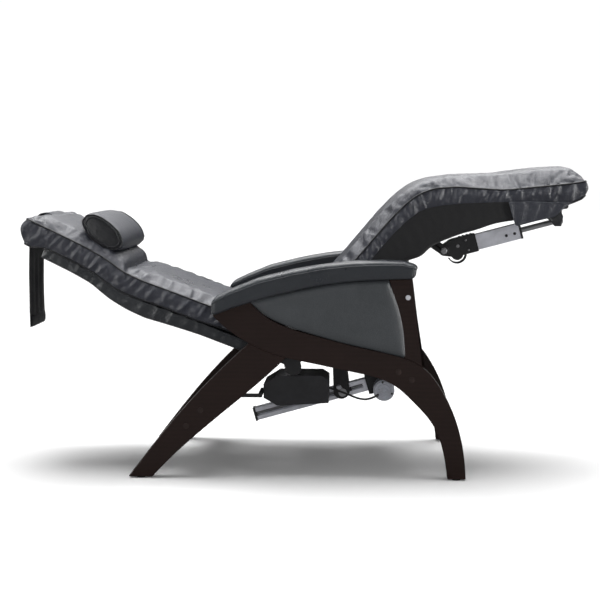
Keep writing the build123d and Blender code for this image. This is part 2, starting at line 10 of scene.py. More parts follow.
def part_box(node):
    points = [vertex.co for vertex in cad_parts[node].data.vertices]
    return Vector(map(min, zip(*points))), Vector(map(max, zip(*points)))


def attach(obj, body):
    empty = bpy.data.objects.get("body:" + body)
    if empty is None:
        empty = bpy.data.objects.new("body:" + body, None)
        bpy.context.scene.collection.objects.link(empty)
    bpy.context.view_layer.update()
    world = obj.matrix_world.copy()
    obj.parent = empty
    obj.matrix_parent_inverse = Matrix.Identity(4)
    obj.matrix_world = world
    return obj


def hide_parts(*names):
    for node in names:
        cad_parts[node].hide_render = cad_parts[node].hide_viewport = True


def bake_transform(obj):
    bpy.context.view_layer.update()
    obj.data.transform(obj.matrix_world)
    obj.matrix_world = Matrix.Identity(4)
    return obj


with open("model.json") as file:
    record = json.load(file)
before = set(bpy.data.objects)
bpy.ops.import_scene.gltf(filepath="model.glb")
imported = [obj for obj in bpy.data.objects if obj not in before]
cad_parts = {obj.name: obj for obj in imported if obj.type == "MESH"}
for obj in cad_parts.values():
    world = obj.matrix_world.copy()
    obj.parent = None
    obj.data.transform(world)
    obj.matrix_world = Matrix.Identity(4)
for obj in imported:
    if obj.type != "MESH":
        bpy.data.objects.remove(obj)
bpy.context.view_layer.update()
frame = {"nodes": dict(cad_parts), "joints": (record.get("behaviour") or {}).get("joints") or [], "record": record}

# Lengths are in metres, in the frame's own axes: +X to the feet, +Y to the sitter's left, +Z up.
JOINTS = {j["name"]: j for j in frame["joints"]}
BARREL_AXIS = Vector(JOINTS["barrel_swing"]["pos_m"])
FLAP_AXIS = Vector(JOINTS["flap_swing"]["pos_m"])
CUSHION_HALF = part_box("leg_cushion")[1].y
STRAP_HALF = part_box("pillow_strap")[1].y
WOOD_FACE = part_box("left_beam_leg")[1].y

# Side view of the seams that edge the cushions' tops
BACK_SEAM = [(-0.866, 0.818), (-0.808, 0.790), (-0.744, 0.760), (-0.676, 0.726), (-0.616, 0.692),
             (-0.552, 0.645), (-0.488, 0.616), (-0.424, 0.593), (-0.300, 0.547), (-0.160, 0.492),
             (-0.034, 0.441)]
SEAT_SEAM = [(-0.028, 0.447), (0.183, 0.685), (0.292, 0.812), (0.344, 0.865), (0.387, 0.897), (0.437, 0.914),
             (0.510, 0.918), (0.567, 0.913), (0.655, 0.908), (0.758, 0.918), (0.861, 0.928), (0.906, 0.936)]
CREASE_AT = 0.358         # distance along the back seam from the head end to the crease
WELT = 0.0032             # radius of the piping
SIDES = {"left": 1, "right": -1}
LINE_STEP = 0.002         # distance between the points of a side-view line


# Curves and meshes

class Line:
    """A smooth line in the side view, with its point and its upward normal at each distance along it."""

    def __init__(self, points, soften=0.014):
        """points are (x, z) corners, rounded over about the distance soften."""
        points = np.array(points, float)
        steps = np.r_[0, np.cumsum(np.hypot(*np.diff(points, axis=0).T))]
        dense = np.arange(0, steps[-1], LINE_STEP)
        xz = np.stack([np.interp(dense, steps, points[:, i]) for i in (0, 1)], 1)
        reach = int(3 * soften / LINE_STEP)
        weights = np.exp(-0.5 * (np.arange(-reach, reach + 1) * LINE_STEP / soften) ** 2)
        weights /= weights.sum()
        head = xz[0] + (xz[0] - xz[1:reach + 1][::-1])
        tail = xz[-1] + (xz[-1] - xz[-reach - 1:-1][::-1])
        padded = np.vstack([head, xz, tail])
        self.xz = np.stack([np.convolve(padded[:, i], weights, "valid") for i in (0, 1)], 1)
        self.s = np.r_[0, np.cumsum(np.hypot(*np.diff(self.xz, axis=0).T))]
        tangent = np.gradient(self.xz, axis=0)
        tangent /= np.linalg.norm(tangent, axis=1)[:, None]
        self.tangent = tangent
        self.normal = np.stack([-tangent[:, 1], tangent[:, 0]], 1)
        self.length = self.s[-1]

    def at(self, s, lift=0.0):
        """Point at a distance along the line, lifted square to it. Past its ends the line runs straight."""
        s = np.asarray(s, float)
        inside = np.clip(s, 0, self.length)
        pick = [np.stack([np.interp(inside, self.s, a[:, i]) for i in (0, 1)], -1)
                for a in (self.xz, self.normal, self.tangent)]
        return pick[0] + pick[1] * np.asarray(lift)[..., None] + pick[2] * (s - inside)[..., None]


BACK = Line(BACK_SEAM)
SEAT = Line(SEAT_SEAM)


def mesh_piece(name, verts, faces, smooth=True):
    """New object of the given points and faces."""
    mesh = bpy.data.meshes.new(name)
    mesh.from_pydata([tuple(map(float, v)) for v in verts], [], faces)
    mesh.validate()
    mesh.polygons.foreach_set("use_smooth", [smooth] * len(mesh.polygons))
    piece = bpy.data.objects.new(name, mesh)
    bpy.context.scene.collection.objects.link(piece)
    return piece


def grid_faces(rows, columns, wrap=False, flip=False):
    """Quads of a grid of points, row after row. With wrap the columns close on themselves."""
    faces = []
    for i in range(rows - 1):
        for j in range(columns if wrap else columns - 1):
            k = (j + 1) % columns
            quad = (i * columns + j, i * columns + k, (i + 1) * columns + k, (i + 1) * columns + j)
            faces.append(quad[::-1] if flip else quad)
    return faces


def grid_rim(last_row, last_column, down_first=False):
    """Indices of the points round the edge of a grid, from its first point."""
    wide = last_column + 1
    rim = list(range(last_column)) + [i * wide + last_column for i in range(last_row)]
    rim += [last_row * wide + j for j in range(last_column, 0, -1)]
    rim += [i * wide for i in range(last_row, 0, -1)]
    return rim[:1] + rim[:0:-1] if down_first else rim


def tube(name, points, radius, closed=False, sides=8):
    """Round tube along points, as a mesh."""
    pts = [Vector(p) for p in points]
    n = len(pts)
    verts, faces = [], []
    up = Vector((0.13, 0.21, 0.97))
    for i, p in enumerate(pts):
        before = pts[i - 1] if closed or i else p
        after = pts[(i + 1) % n] if closed or i < n - 1 else p
        ahead = (after - before).normalized()
        side = ahead.cross(up).normalized()
        up = side.cross(ahead).normalized()
        for k in range(sides):
            a = 2 * math.pi * k / sides
            verts.append(p + (side * math.cos(a) + up * math.sin(a)) * radius)
    faces = grid_faces(n, sides, wrap=True)
    if closed:
        last = (n - 1) * sides
        twist = min(range(sides), key=lambda t: (verts[last] - verts[t]).length)
        for k in range(sides):
            a, b = last + k, last + (k + 1) % sides
            faces.append((a, b, (k + 1 + twist) % sides, (k + twist) % sides))
    else:
        faces.append(tuple(range(sides))[::-1])
        faces.append(tuple(range((n - 1) * sides, n * sides)))
    return mesh_piece(name, verts, faces)


def lathe(name, centre, profile, sides=48):
    """Turned piece about a line along Y through centre. The profile is (distance along Y, radius)."""
    x, y, z = centre
    verts = []
    for along, radius in profile:
        for k in range(sides):
            a = 2 * math.pi * k / sides
            verts.append((x + radius * math.cos(a), y + along, z + radius * math.sin(a)))
    faces = grid_faces(len(profile), sides, wrap=True)
    faces.append(tuple(range(sides))[::-1])
    faces.append(tuple(range((len(profile) - 1) * sides, len(profile) * sides)))
    piece = mesh_piece(name, verts, faces)
    sharpen(piece)
    return piece


def sharpen(piece, angle=35):
    """Smooth shading with sharp edges where faces meet at a steep angle."""
    bpy.context.view_layer.objects.active = piece
    piece.select_set(True)
    bpy.ops.object.shade_smooth_by_angle(angle=math.radians(angle))
    piece.select_set(False)


def settle(piece, body, material, replaces=()):
    """Give a finished piece its material, slot and body."""
    piece.data.materials.clear()
    piece.data.materials.append(material)
    if body:
        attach(piece, body)
    if replaces:
        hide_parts(*replaces)
    return piece


def crumple(x, y, z, seed=0.0):
    """Smooth irregular number, about -1 to 1, at a point of a pattern picked by the seed."""
    return noise.noise(Vector((x + seed, y - 2 * seed, z + 3 * seed)))


# Cushion covers

END_ROUND = 0.045         # distance over which a cover's crown rises from its two ends
PUCKER_REACH = 0.035      # how far the small puckers run in from the seams
PUCKER_RISE = 0.012       # distance from the seam at which they reach full depth
TUCK_REACH = 0.12         # how far along a cover its undercut ends run


def plateau(v, power):
    """1 in the middle and 0 at plus and minus 1, flat-topped for a high power."""
    return (1 - np.abs(v) ** power) ** (1 / 2.2)


def top_puckers(ss, yy, v, edge, depth, seed):
    """Height of the puckers of a top panel: short ones along the seams and long ones over the whole of it."""
    fold = np.zeros_like(ss)
    for i, j in np.ndindex(ss.shape):
        near = math.exp(-edge[i, j] / PUCKER_REACH)
        pucker = crumple(ss[i, j] * 42, 0, v[i, j] * 3.0, seed) * near * 1.5
        drift = crumple(ss[i, j] * 13 + 5 * abs(v[i, j]), yy[i, j] * 5, 0, seed + 7)
        fold[i, j] = depth * (pucker + 0.55 * drift) * min(1, edge[i, j] / PUCKER_RISE)
    return fold


def boxed_cover(name, line, start, stop, half, crown, depth, top=0.0, belly=0.0, wall_bulge=0.006,
                step=0.0075, gathers=0.0, seed=0.0, wall_rows=7, undercut=(0.0, 0.0), end_bulge=(0.0, 0.0)):
    """Closed cover: a crowned top panel, a band all round, and an underside.

    crown and depth are functions of distance along the line. undercut and end_bulge are for the two ends.
    Returns the piece, the indices of its upper and lower seam, and of the points that a swelling holds."""
    ns = int((stop - start) / step)
    ny = int(2 * half / step)
    s = np.linspace(start, stop, ns + 1)
    y = np.linspace(-half, half, ny + 1)
    ss, yy = np.meshgrid(s, y, indexing="ij")
    v = yy / half
    to_end = np.minimum((ss - start), (stop - ss))
    ends = np.sqrt(1 - (1 - np.clip(to_end / END_ROUND, 0, 1)) ** 2)
    lift = top + np.vectorize(crown)(ss) * plateau(v, 4.0) * ends
    fold = top_puckers(ss, yy, v, np.minimum(half - np.abs(yy), to_end), gathers, seed)
    upper = line.at(ss, lift + fold)
    upper = np.stack([upper[..., 0], yy, upper[..., 1]], -1)
    tuck = undercut[0] * (1 - np.clip((ss - start) / TUCK_REACH, 0, 1)) ** 1.5
    tuck -= undercut[1] * (1 - np.clip((stop - ss) / TUCK_REACH, 0, 1)) ** 1.5
    under = line.at(ss + tuck, top - np.vectorize(depth)(ss) - belly * plateau(v, 6) * ends)
    under = np.stack([under[..., 0], yy, under[..., 1]], -1)

    count = (ns + 1) * (ny + 1)
    verts = [tuple(p) for p in upper.reshape(-1, 3)] + [tuple(p) for p in under.reshape(-1, 3)]
    faces = [f[::-1] for f in grid_faces(ns + 1, ny + 1)]
    faces += [tuple(count + k for k in f) for f in grid_faces(ns + 1, ny + 1)]
    rim = grid_rim(ns, ny, down_first=True)
    tangents = line.at(ss + 0.001) - line.at(ss)

    def outward(i, j):
        """Direction square to the cover's edge at a point of the rim."""
        out = Vector((0, 0, 0))
        if j in (0, ny):
            out.y += -1 if j == 0 else 1
        if i in (0, ns):
            d = tangents[i, j] * (-1 if i == 0 else 1)
            out += Vector((d[0], 0, d[1])).normalized()
        return out.normalized()

    rows = [rim]
    for k in range(1, wall_rows):
        t = k / wall_rows
        row = []
        for r in rim:
            i, j = divmod(r, ny + 1)
            around = s[i] * 55 + y[j] * 55
            ridge = crumple(around, t * 1.3, 0.0, seed + 3) + 0.5 * crumple(around * 2.1, t * 2.2, 1.0, seed)
            nose = end_bulge[0] if i == 0 else end_bulge[1] if i == ns else 0.0
            arch = math.sin(math.pi * t)
            swell = (wall_bulge + nose) * arch + gathers * 1.5 * ridge * arch ** 0.7
            row.append(len(verts))
            verts.append(Vector(verts[r]).lerp(Vector(verts[count + r]), t) + outward(i, j) * swell)
        rows.append(row)
    rows.append([count + r for r in rim])
    for upper_row, lower_row in zip(rows, rows[1:]):
        for k in range(len(rim)):
            n = (k + 1) % len(rim)
            faces.append((upper_row[k], upper_row[n], lower_row[n], lower_row[k]))
    piece = mesh_piece(name, verts, faces)
    held = set(rim) | set(range(count, 2 * count))
    return piece, rim, [count + r for r in rim], held


LEATHER_CLOTH = {"quality": 5, "mass": 0.35, "tension_stiffness": 18, "compression_stiffness": 12,
                 "shear_stiffness": 6, "bending_stiffness": 0.12, "shrink_min": -0.035, "use_pressure": True,
                 "uniform_pressure_force": 2.5, "vertex_group_mass": "held"}
SWELL_FRAMES = 16
SWELL_CAP = 0.012         # furthest that a point of the leather may move


def leather_sim(piece, held):
    """Inflate a cover as cloth: the seams and the underside are held, and the leather has some slack,
    so that it swells and creases. No point moves further than the cap."""
    rest = np.array([v.co for v in piece.data.vertices])
    group = piece.vertex_groups.new(name="held")
    group.add(sorted(held), 1.0, "REPLACE")
    cloth = piece.modifiers.new("leather", "CLOTH")
    for setting, value in LEATHER_CLOTH.items():
        setattr(cloth.settings, setting, value)
    cloth.settings.effector_weights.gravity = 0
    cloth.point_cache.frame_start = 1
    cloth.point_cache.frame_end = SWELL_FRAMES
    scene = bpy.context.scene
    for f in range(1, SWELL_FRAMES + 1):
        scene.frame_set(f)
    shaped = piece.evaluated_get(bpy.context.evaluated_depsgraph_get())
    moved = np.array([v.co for v in shaped.data.vertices])
    scene.frame_set(1)
    piece.modifiers.remove(cloth)
    shift = moved - rest
    far = np.linalg.norm(shift, axis=1)
    shift *= np.minimum(1, SWELL_CAP / np.maximum(far, 1e-9))[:, None]
    piece.data.vertices.foreach_set("co", (rest + shift).ravel())
    piece.data.update()
    piece.vertex_groups.clear()


def soften(piece, levels=1):
    """Add one level of subdivision, kept in the mesh."""
    modifier = piece.modifiers.new("soften", "SUBSURF")
    modifier.levels = modifier.render_levels = levels
    bpy.context.view_layer.objects.active = piece
    bpy.ops.object.modifier_apply(modifier=modifier.name)


def groove(offset, wide):
    """Cross-section of a crease: a sharp groove with soft shoulders."""
    u = offset / wide
    return 0.55 * np.exp(-(u / 2.3) ** 2) - np.exp(-u ** 2)


def seam_creases(along, away, span, seed, spacing, reach, depth, width=0.0055, lean=0.0):
    """Gathers that run from a seam into the leather, at distances along the seam and away from it."""
    rng = np.random.default_rng(seed)
    shift = np.zeros_like(along)
    for k in range(int(span / spacing)):
        start = (k + rng.uniform(-0.45, 0.45)) * spacing
        slant, bend = lean + rng.uniform(-0.30, 0.30), rng.uniform(-3.5, 3.5)
        long = reach * rng.uniform(0.45, 1.35)
        deep = depth * rng.uniform(0.45, 1.45)
        wide = width * rng.uniform(0.8, 1.5)
        offset = along - start - slant * away - bend * away ** 2
        fade = np.clip(1 - away / long, 0, 1) ** 0.8 * np.clip(away / 0.007, 0, 1)
        shift += deep * fade * groove(offset, wide * (1 + 1.3 * away / long))
    return shift


def loose_creases(s, y, areas, seed):
    """Creases lying free on a surface.

    An area is (first s, last s, half width in y, count, length, depth)."""
    rng = np.random.default_rng(seed)
    shift = np.zeros_like(s)
    for first, last, half, count, length, depth in areas:
        for _ in range(count):
            middle = rng.uniform(first, last), rng.uniform(-half, half)
            turn = math.pi / 2 + rng.normal(0, 0.55)
            t = (math.cos(turn), math.sin(turn))
            ds, dy = s - middle[0], y - middle[1]
            along = ds * t[0] + dy * t[1]
            across = -ds * t[1] + dy * t[0] + rng.uniform(-4, 4) * along ** 2
            long = length * rng.uniform(0.5, 1.4)
            deep = depth * rng.uniform(0.4, 1.3)
            shift += deep * np.exp(-(along / long) ** 2) * groove(across, 0.008 * rng.uniform(0.8, 1.6))
    return shift


def wrinkle(piece, line, half, depth, top, wall, areas=(), seed=1):
    """Press creases into a finished cover, along its normals. top and wall are settings of seam_creases.

    depth is the height of the wall, a function of distance along the line."""
    mesh = piece.data
    co = np.array([v.co for v in mesh.vertices])
    normal = np.array([v.normal for v in mesh.vertices])
    nearest = np.array([np.argmin((line.xz[:, 0] - x) ** 2 + (line.xz[:, 1] - z) ** 2) for x, _, z in co])
    s = line.s[nearest]
    out = line.normal[nearest]
    lift = (co[:, 0] - line.xz[nearest, 0]) * out[:, 0] + (co[:, 2] - line.xz[nearest, 1]) * out[:, 1]
    facing = normal[:, 0] * out[:, 0] + normal[:, 2] * out[:, 1]
    sideways = np.clip((np.abs(normal[:, 1]) - 0.45) / 0.3, 0, 1)
    upward = np.clip((facing - 0.25) / 0.3, 0, 1) * (lift > -0.004)
    shift = np.zeros(len(co))
    deep = np.array([depth(x) for x in s])
    for side in (-1, 1):
        here = np.where(co[:, 1] * side > 0, 1.0, 0.0)
        away = np.clip(half - np.abs(co[:, 1]), 0, None)
        shift += here * upward * seam_creases(s, away, line.length, seed + side, **top)
        down = np.clip(-lift, 0, None)
        to_seam = np.clip((deep - down) / 0.010, 0, 1)
        shift += here * sideways * to_seam * seam_creases(s, down, line.length, seed + 5 + side, **wall)
    free = np.clip((half - np.abs(co[:, 1])) / 0.03, 0, 1)
    shift += upward * free * loose_creases(s, co[:, 1], areas, seed + 20)
    mesh.vertices.foreach_set("co", (co + normal * shift[:, None]).ravel())
    mesh.update()


def seam_points(piece, ring):
    """A seam's points, set a little outwards so that its piping stands proud."""
    normals = [piece.data.vertices[i].normal for i in ring]
    return [tuple(piece.data.vertices[i].co + n * 0.0008) for i, n in zip(ring, normals)]


# Shader groups: each puts out only values that change over the surface

def shader_group(name, inputs, outputs):
    """Empty node group with named number sockets. Returns the group and a maker of its inner nodes."""
    group = bpy.data.node_groups.new(name, "ShaderNodeTree")
    for label, value in inputs.items():
        socket = group.interface.new_socket(name=label, in_out="INPUT", socket_type="NodeSocketFloat")
        socket.default_value = value
    for label in outputs:
        group.interface.new_socket(name=label, in_out="OUTPUT", socket_type="NodeSocketFloat")
    return group, Wires(group)


class Wires:
    """Short way to add nodes and links to one node tree."""

    def __init__(self, tree):
        self.tree = tree
        self.nodes = tree.nodes

    def add(self, kind, links=None, **settings):
        """New node of a kind. links are its sockets' values or sources, settings its own choices."""
        node = self.nodes.new("ShaderNode" + kind)
        for key, value in settings.items():
            setattr(node, key, value)
        for socket, value in (links or {}).items():
            self.feed(node.inputs[socket], value)
        return node

    def feed(self, socket, value):
        """Link a socket to another one, or set it to a plain value."""
        if isinstance(value, bpy.types.NodeSocket):
            self.tree.links.new(value, socket)
        else:
            socket.default_value = value

    def math(self, operation, a, b=0.0, clamp=False):
        """Result of one sum on two numbers."""
        node = self.add("Math", {0: a, 1: b}, operation=operation)
        node.use_clamp = clamp
        return node.outputs[0]

    def place(self, x=1.0, y=1.0, z=1.0):
        """Position on the piece, stretched along each axis."""
        here = self.add("TexCoord").outputs["Object"]
        return self.add("Mapping", {"Vector": here, "Scale": (x, y, z)}).outputs["Vector"]

    def noise(self, vector, scale, detail=3.0, roughness=0.5):
        """Cloudy pattern, about 0.3 to 0.7."""
        links = {"Vector": vector, "Scale": scale, "Detail": detail, "Roughness": roughness}
        return self.add("TexNoise", links).outputs["Fac"]

    def spread(self, value, low, high, to_low=0.0, to_high=1.0):
        """Value moved from the range low to high into another range."""
        node = self.add("MapRange", {"Value": value, "From Min": low, "From Max": high, "To Min": to_low,
                                     "To Max": to_high})
        return node.outputs["Result"]


def build_leather_grain():
    """Pebbled hide: small closed cells, finer pores, and slow creases."""
    group, w = shader_group("leather_grain", {"Scale": 420.0, "Creases": 1.0}, ["Height", "Pores", "Mottle"])
    gin, gout = w.nodes.new("NodeGroupInput"), w.nodes.new("NodeGroupOutput")
    here = w.place()
    warp = w.add("TexNoise", {"Vector": here, "Scale": 60.0, "Detail": 2.0}).outputs["Color"]
    bent = w.add("VectorMath", {0: warp, "Scale": 0.006}, operation="SCALE").outputs[0]
    moved = w.add("VectorMath", {0: here, 1: bent}, operation="ADD").outputs[0]
    cells = w.add("TexVoronoi", {"Vector": moved, "Scale": gin.outputs["Scale"]}, feature="DISTANCE_TO_EDGE")
    pebble = w.spread(cells.outputs["Distance"], 0.0, 0.35)
    fine = w.noise(here, 1400.0, 2.0)
    crease = w.noise(moved, 22.0, 6.0, 0.62)
    ridge = w.math("ABSOLUTE", w.math("SUBTRACT", crease, 0.5))
    crease_line = w.spread(ridge, 0.0, 0.045)
    creases = w.math("MULTIPLY", crease_line, gin.outputs["Creases"])
    height = w.math("ADD", w.math("MULTIPLY", pebble, 0.55), w.math("MULTIPLY", fine, 0.15))
    height = w.math("ADD", height, w.math("MULTIPLY", creases, 0.5))
    w.feed(gout.inputs["Height"], height)
    w.feed(gout.inputs["Pores"], w.math("SUBTRACT", 1.0, pebble))
    w.feed(gout.inputs["Mottle"], w.noise(here, 9.0, 4.0, 0.55))
    return group


def build_edge_wear_and_highlight():
    """1 along outer edges and 0 elsewhere, broken up by a slow noise: worn edges, and on the wood also a painted
    edge highlight.
    """
    group, w = shader_group("edge_wear_and_highlight", {"Low": 0.52, "High": 0.60, "Breakup": 30.0}, ["Wear"])
    gin, gout = w.nodes.new("NodeGroupInput"), w.nodes.new("NodeGroupOutput")
    pointed = w.add("NewGeometry").outputs["Pointiness"]
    worn = w.spread(pointed, gin.outputs["Low"], gin.outputs["High"])
    patchy = w.spread(w.noise(w.place(), gin.outputs["Breakup"], 4.0), 0.35, 0.65)
    w.feed(gout.inputs["Wear"], w.math("MULTIPLY", worn, patchy))
    return group


def build_dust():
    """Dust that settles on faces that look up."""
    group, w = shader_group("dust", {"Amount": 0.2}, ["Dust"])
    gin, gout = w.nodes.new("NodeGroupInput"), w.nodes.new("NodeGroupOutput")
    normal = w.add("NewGeometry").outputs["Normal"]
    up = w.add("SeparateXYZ", {0: normal}).outputs["Z"]
    facing = w.spread(up, 0.2, 1.0)
    speckle = w.spread(w.noise(w.place(), 140.0, 5.0, 0.7), 0.42, 0.75)
    amount = w.math("MULTIPLY", facing, gin.outputs["Amount"])
    w.feed(gout.inputs["Dust"], w.math("MULTIPLY", speckle, amount, clamp=True))
    return group


def build_wood_grain():
    """Long fibres with darker pores along X, the length of each board."""
    group, w = shader_group("wood_grain", {"Figure": 1.0}, ["Tone", "Fibre"])
    gin, gout = w.nodes.new("NodeGroupInput"), w.nodes.new("NodeGroupOutput")
    along = w.place(1.6, 26.0, 14.0)
    rings = {"Vector": along, "Scale": 1.6, "Distortion": 5.0, "Detail": 3.0, "Detail Scale": 1.4}
    bands = w.add("TexWave", rings, bands_direction="Z").outputs["Fac"]
    fibres = w.noise(w.place(14.0, 420.0, 300.0), 1.0, 4.0, 0.6)
    tone = w.math("ADD", w.math("MULTIPLY", bands, 0.55), w.math("MULTIPLY", fibres, 0.45))
    w.feed(gout.inputs["Tone"], w.math("MULTIPLY", tone, gin.outputs["Figure"]))
    w.feed(gout.inputs["Fibre"], fibres)
    return group


def build_brushed():
    """Fine lines along X, as on drawn or brushed metal."""
    group, w = shader_group("brushed", {"Fineness": 900.0}, ["Lines", "Smudge"])
    gin, gout = w.nodes.new("NodeGroupInput"), w.nodes.new("NodeGroupOutput")
    lines = w.noise(w.place(0.03, 1.0, 1.0), gin.outputs["Fineness"], 3.0, 0.7)
    w.feed(gout.inputs["Lines"], lines)
    w.feed(gout.inputs["Smudge"], w.noise(w.place(), 18.0, 5.0, 0.6))
    return group


def build_weave():
    """Plain woven cloth: two sets of threads that cross."""
    group, w = shader_group("weave", {"Threads": 900.0}, ["Height", "Tone"])
    gin, gout = w.nodes.new("NodeGroupInput"), w.nodes.new("NodeGroupOutput")
    here = w.place()
    waves = []
    for direction in ("X", "Y"):
        wave = w.add("TexWave", {"Vector": here, "Scale": gin.outputs["Threads"], "Distortion": 0.6,
                                 "Detail": 1.0}, bands_direction=direction)
        waves.append(wave.outputs["Fac"])
    crossed = w.math("MULTIPLY", waves[0], waves[1])
    w.feed(gout.inputs["Height"], crossed)
    w.feed(gout.inputs["Tone"], w.noise(here, 25.0, 4.0, 0.6))
    return group


GROUPS = {"leather_grain": build_leather_grain(), "edge_wear_and_highlight": build_edge_wear_and_highlight(), "dust": build_dust(),
          "wood_grain": build_wood_grain(), "brushed": build_brushed(), "weave": build_weave()}


# Materials

class Finish(Wires):
    """One material under construction, around its Principled shader."""

    def __init__(self, name, metallic=0.0, **constants):
        self.material = bpy.data.materials.new(name)
        self.material.use_nodes = True
        super().__init__(self.material.node_tree)
        self.shader = self.nodes["Principled BSDF"]
        self.shader.inputs["Metallic"].default_value = metallic
        for socket, value in constants.items():
            self.shader.inputs[socket.replace("_", " ").title().replace("Ior", "IOR")].default_value = value

    def group(self, name, **values):
        """Outputs of one of the shared groups, with its own values."""
        node = self.nodes.new("ShaderNodeGroup")
        node.node_tree = GROUPS[name]
        for label, value in values.items():
            node.inputs[label].default_value = value
        return node.outputs

    def mix(self, factor, a, b):
        """Colour between a and b."""
        node = self.add("Mix", data_type="RGBA")
        for socket, value in ((node.inputs[0], factor), (node.inputs[6], a), (node.inputs[7], b)):
            self.feed(socket, (*value, 1.0) if isinstance(value, tuple) else value)
        return node.outputs[2]

    def colour(self, value):
        self.feed(self.shader.inputs["Base Color"], (*value, 1.0) if isinstance(value, tuple) else value)

    def roughness(self, value):
        self.feed(self.shader.inputs["Roughness"], value)

    def bump(self, height, distance):
        """Relief of a height map, whose white stands the distance above its black."""
        node = self.add("Bump", {"Height": height, "Distance": distance, "Strength": 1.0})
        self.feed(self.shader.inputs["Normal"], node.outputs["Normal"])


def leather(name, shade, lighter, rough, grain=420.0, creases=1.0, relief=0.0006, dust=0.10):
    """Dyed hide: two slow tones, darker pores, lighter worn edges, and a little dust on top."""
    f = Finish(name, specular_ior_level=0.5)
    grain_out = f.group("leather_grain", Scale=grain, Creases=creases)
    hide = f.mix(f.spread(grain_out["Mottle"], 0.3, 0.7), shade, lighter)
    pored = f.mix(f.math("MULTIPLY", grain_out["Pores"], 0.35), hide, tuple(0.4 * c for c in shade))
    worn = f.mix(f.math("MULTIPLY", f.group("edge_wear_and_highlight", Low=0.51, High=0.60, Breakup=40.0)["Wear"], 0.35),
                 pored, tuple(1.7 * c for c in lighter))
    dusted = f.mix(f.group("dust", Amount=dust)["Dust"], worn, (0.17, 0.17, 0.19))
    f.colour(dusted)
    f.roughness(f.spread(grain_out["Mottle"], 0.25, 0.75, rough - 0.06, rough + 0.07))
    f.bump(grain_out["Height"], relief)
    return f.material


def wood(name, dark, light, rough):
    """Stained and lacquered wood, lighter along its edges: partly wear, partly a painted highlight on the edges.
    """
    f = Finish(name, specular_ior_level=0.30, coat_weight=0.12, coat_roughness=0.18)
    grain = f.group("wood_grain", Figure=1.0)
    board = f.mix(grain["Tone"], dark, light)
    # The lighter edges are partly wear and partly a painted edge highlight.
    worn = f.mix(f.math("MULTIPLY", f.group("edge_wear_and_highlight", Low=0.51, High=0.62, Breakup=14.0)["Wear"], 0.5),
                 board, tuple(3.0 * c for c in light))
    f.colour(f.mix(f.group("dust", Amount=0.05)["Dust"], worn, (0.25, 0.23, 0.22)))
    f.roughness(f.spread(grain["Fibre"], 0.3, 0.7, rough - 0.05, rough + 0.08))
    f.bump(grain["Fibre"], 0.00015)
    return f.material


def metal(name, shade, rough, lines=0.00003, fineness=900.0, wear=0.2, metallic=1.0):
    """Bare metal with fine lines and smudges. Below full metal, the bright base colour shows as a diffuse light
    colour: on the aluminium partly its oxide skin, and on all of them a painted reflection of bright surroundings.
    """
    f = Finish(name, metallic=metallic)
    brushed = f.group("brushed", Fineness=fineness)
    smudged = f.mix(f.spread(brushed["Smudge"], 0.35, 0.7), shade, tuple(0.72 * c for c in shade))
    worn = f.mix(f.math("MULTIPLY", f.group("edge_wear_and_highlight", Low=0.52, High=0.64, Breakup=50.0)["Wear"], wear),
                 smudged, (0.85, 0.85, 0.86))
    f.colour(worn)
    f.roughness(f.spread(brushed["Lines"], 0.3, 0.7, rough - 0.06, rough + 0.10))
    f.bump(brushed["Lines"], lines)
    return f.material


def moulded(name, shade, rough, texture=700.0, relief=0.00012, dust=0.12):
    """Moulded plastic, rubber or powder-coated steel, with a fine texture."""
    f = Finish(name)
    spark = f.noise(f.place(), texture, 2.0)
    mottle = f.noise(f.place(), 16.0, 4.0)
    base = f.mix(f.spread(mottle, 0.3, 0.7), shade, tuple(1.5 * c for c in shade))
    worn = f.mix(f.math("MULTIPLY", f.group("edge_wear_and_highlight", Low=0.52, High=0.62, Breakup=60.0)["Wear"], 0.5),
                 base, tuple(4.0 * c for c in shade))
    f.colour(f.mix(f.group("dust", Amount=dust)["Dust"], worn, (0.24, 0.24, 0.24)))
    f.roughness(f.spread(mottle, 0.3, 0.7, rough - 0.05, rough + 0.08))
    f.bump(spark, relief)
    return f.material


def cloth(name, shade, threads, relief, rough=0.85):
    """Plain woven cloth."""
    f = Finish(name, sheen_weight=0.05, sheen_roughness=0.5)
    weave = f.group("weave", Threads=threads)
    base = f.mix(f.spread(weave["Tone"], 0.3, 0.7), shade, tuple(1.6 * c for c in shade))
    f.colour(f.mix(f.math("MULTIPLY", weave["Height"], 0.4), base, tuple(2.2 * c for c in shade)))
    f.roughness(f.spread(weave["Tone"], 0.3, 0.7, rough - 0.05, min(rough + 0.08, 1.0)))
    f.bump(weave["Height"], relief)
    return f.material


SLATE = (0.050, 0.053, 0.069)
SLATE_LIGHT = (0.060, 0.064, 0.082)
slate_leather = leather("slate_leather", SLATE, SLATE_LIGHT, 0.31)
arm_leather = leather("arm_leather", (0.040, 0.044, 0.052), (0.047, 0.053, 0.061), 0.29, creases=0.1)
panel_leather = leather("panel_leather", (0.076, 0.083, 0.090), (0.088, 0.096, 0.105), 0.42, creases=0.3)
shell_leather = leather("shell_leather", (0.034, 0.037, 0.042), (0.046, 0.050, 0.056), 0.28, creases=0.3)
piping_leather = leather("piping_leather", (0.045, 0.050, 0.058), (0.060, 0.066, 0.075), 0.33, grain=600.0,
                         creases=0.2, relief=0.0003)
black_leather = leather("black_leather", (0.011, 0.012, 0.015), (0.016, 0.017, 0.021), 0.36, creases=0.5)
flap_leather = leather("flap_leather", (0.007, 0.008, 0.011), (0.010, 0.011, 0.015), 0.50, creases=0.5,
                       dust=0.03)
black_lining = cloth("black_lining", (0.007, 0.007, 0.008), 1500.0, 0.00005)
dark_wood = wood("dark_wood", (0.0150, 0.0070, 0.0055), (0.0205, 0.0100, 0.0080), 0.34)
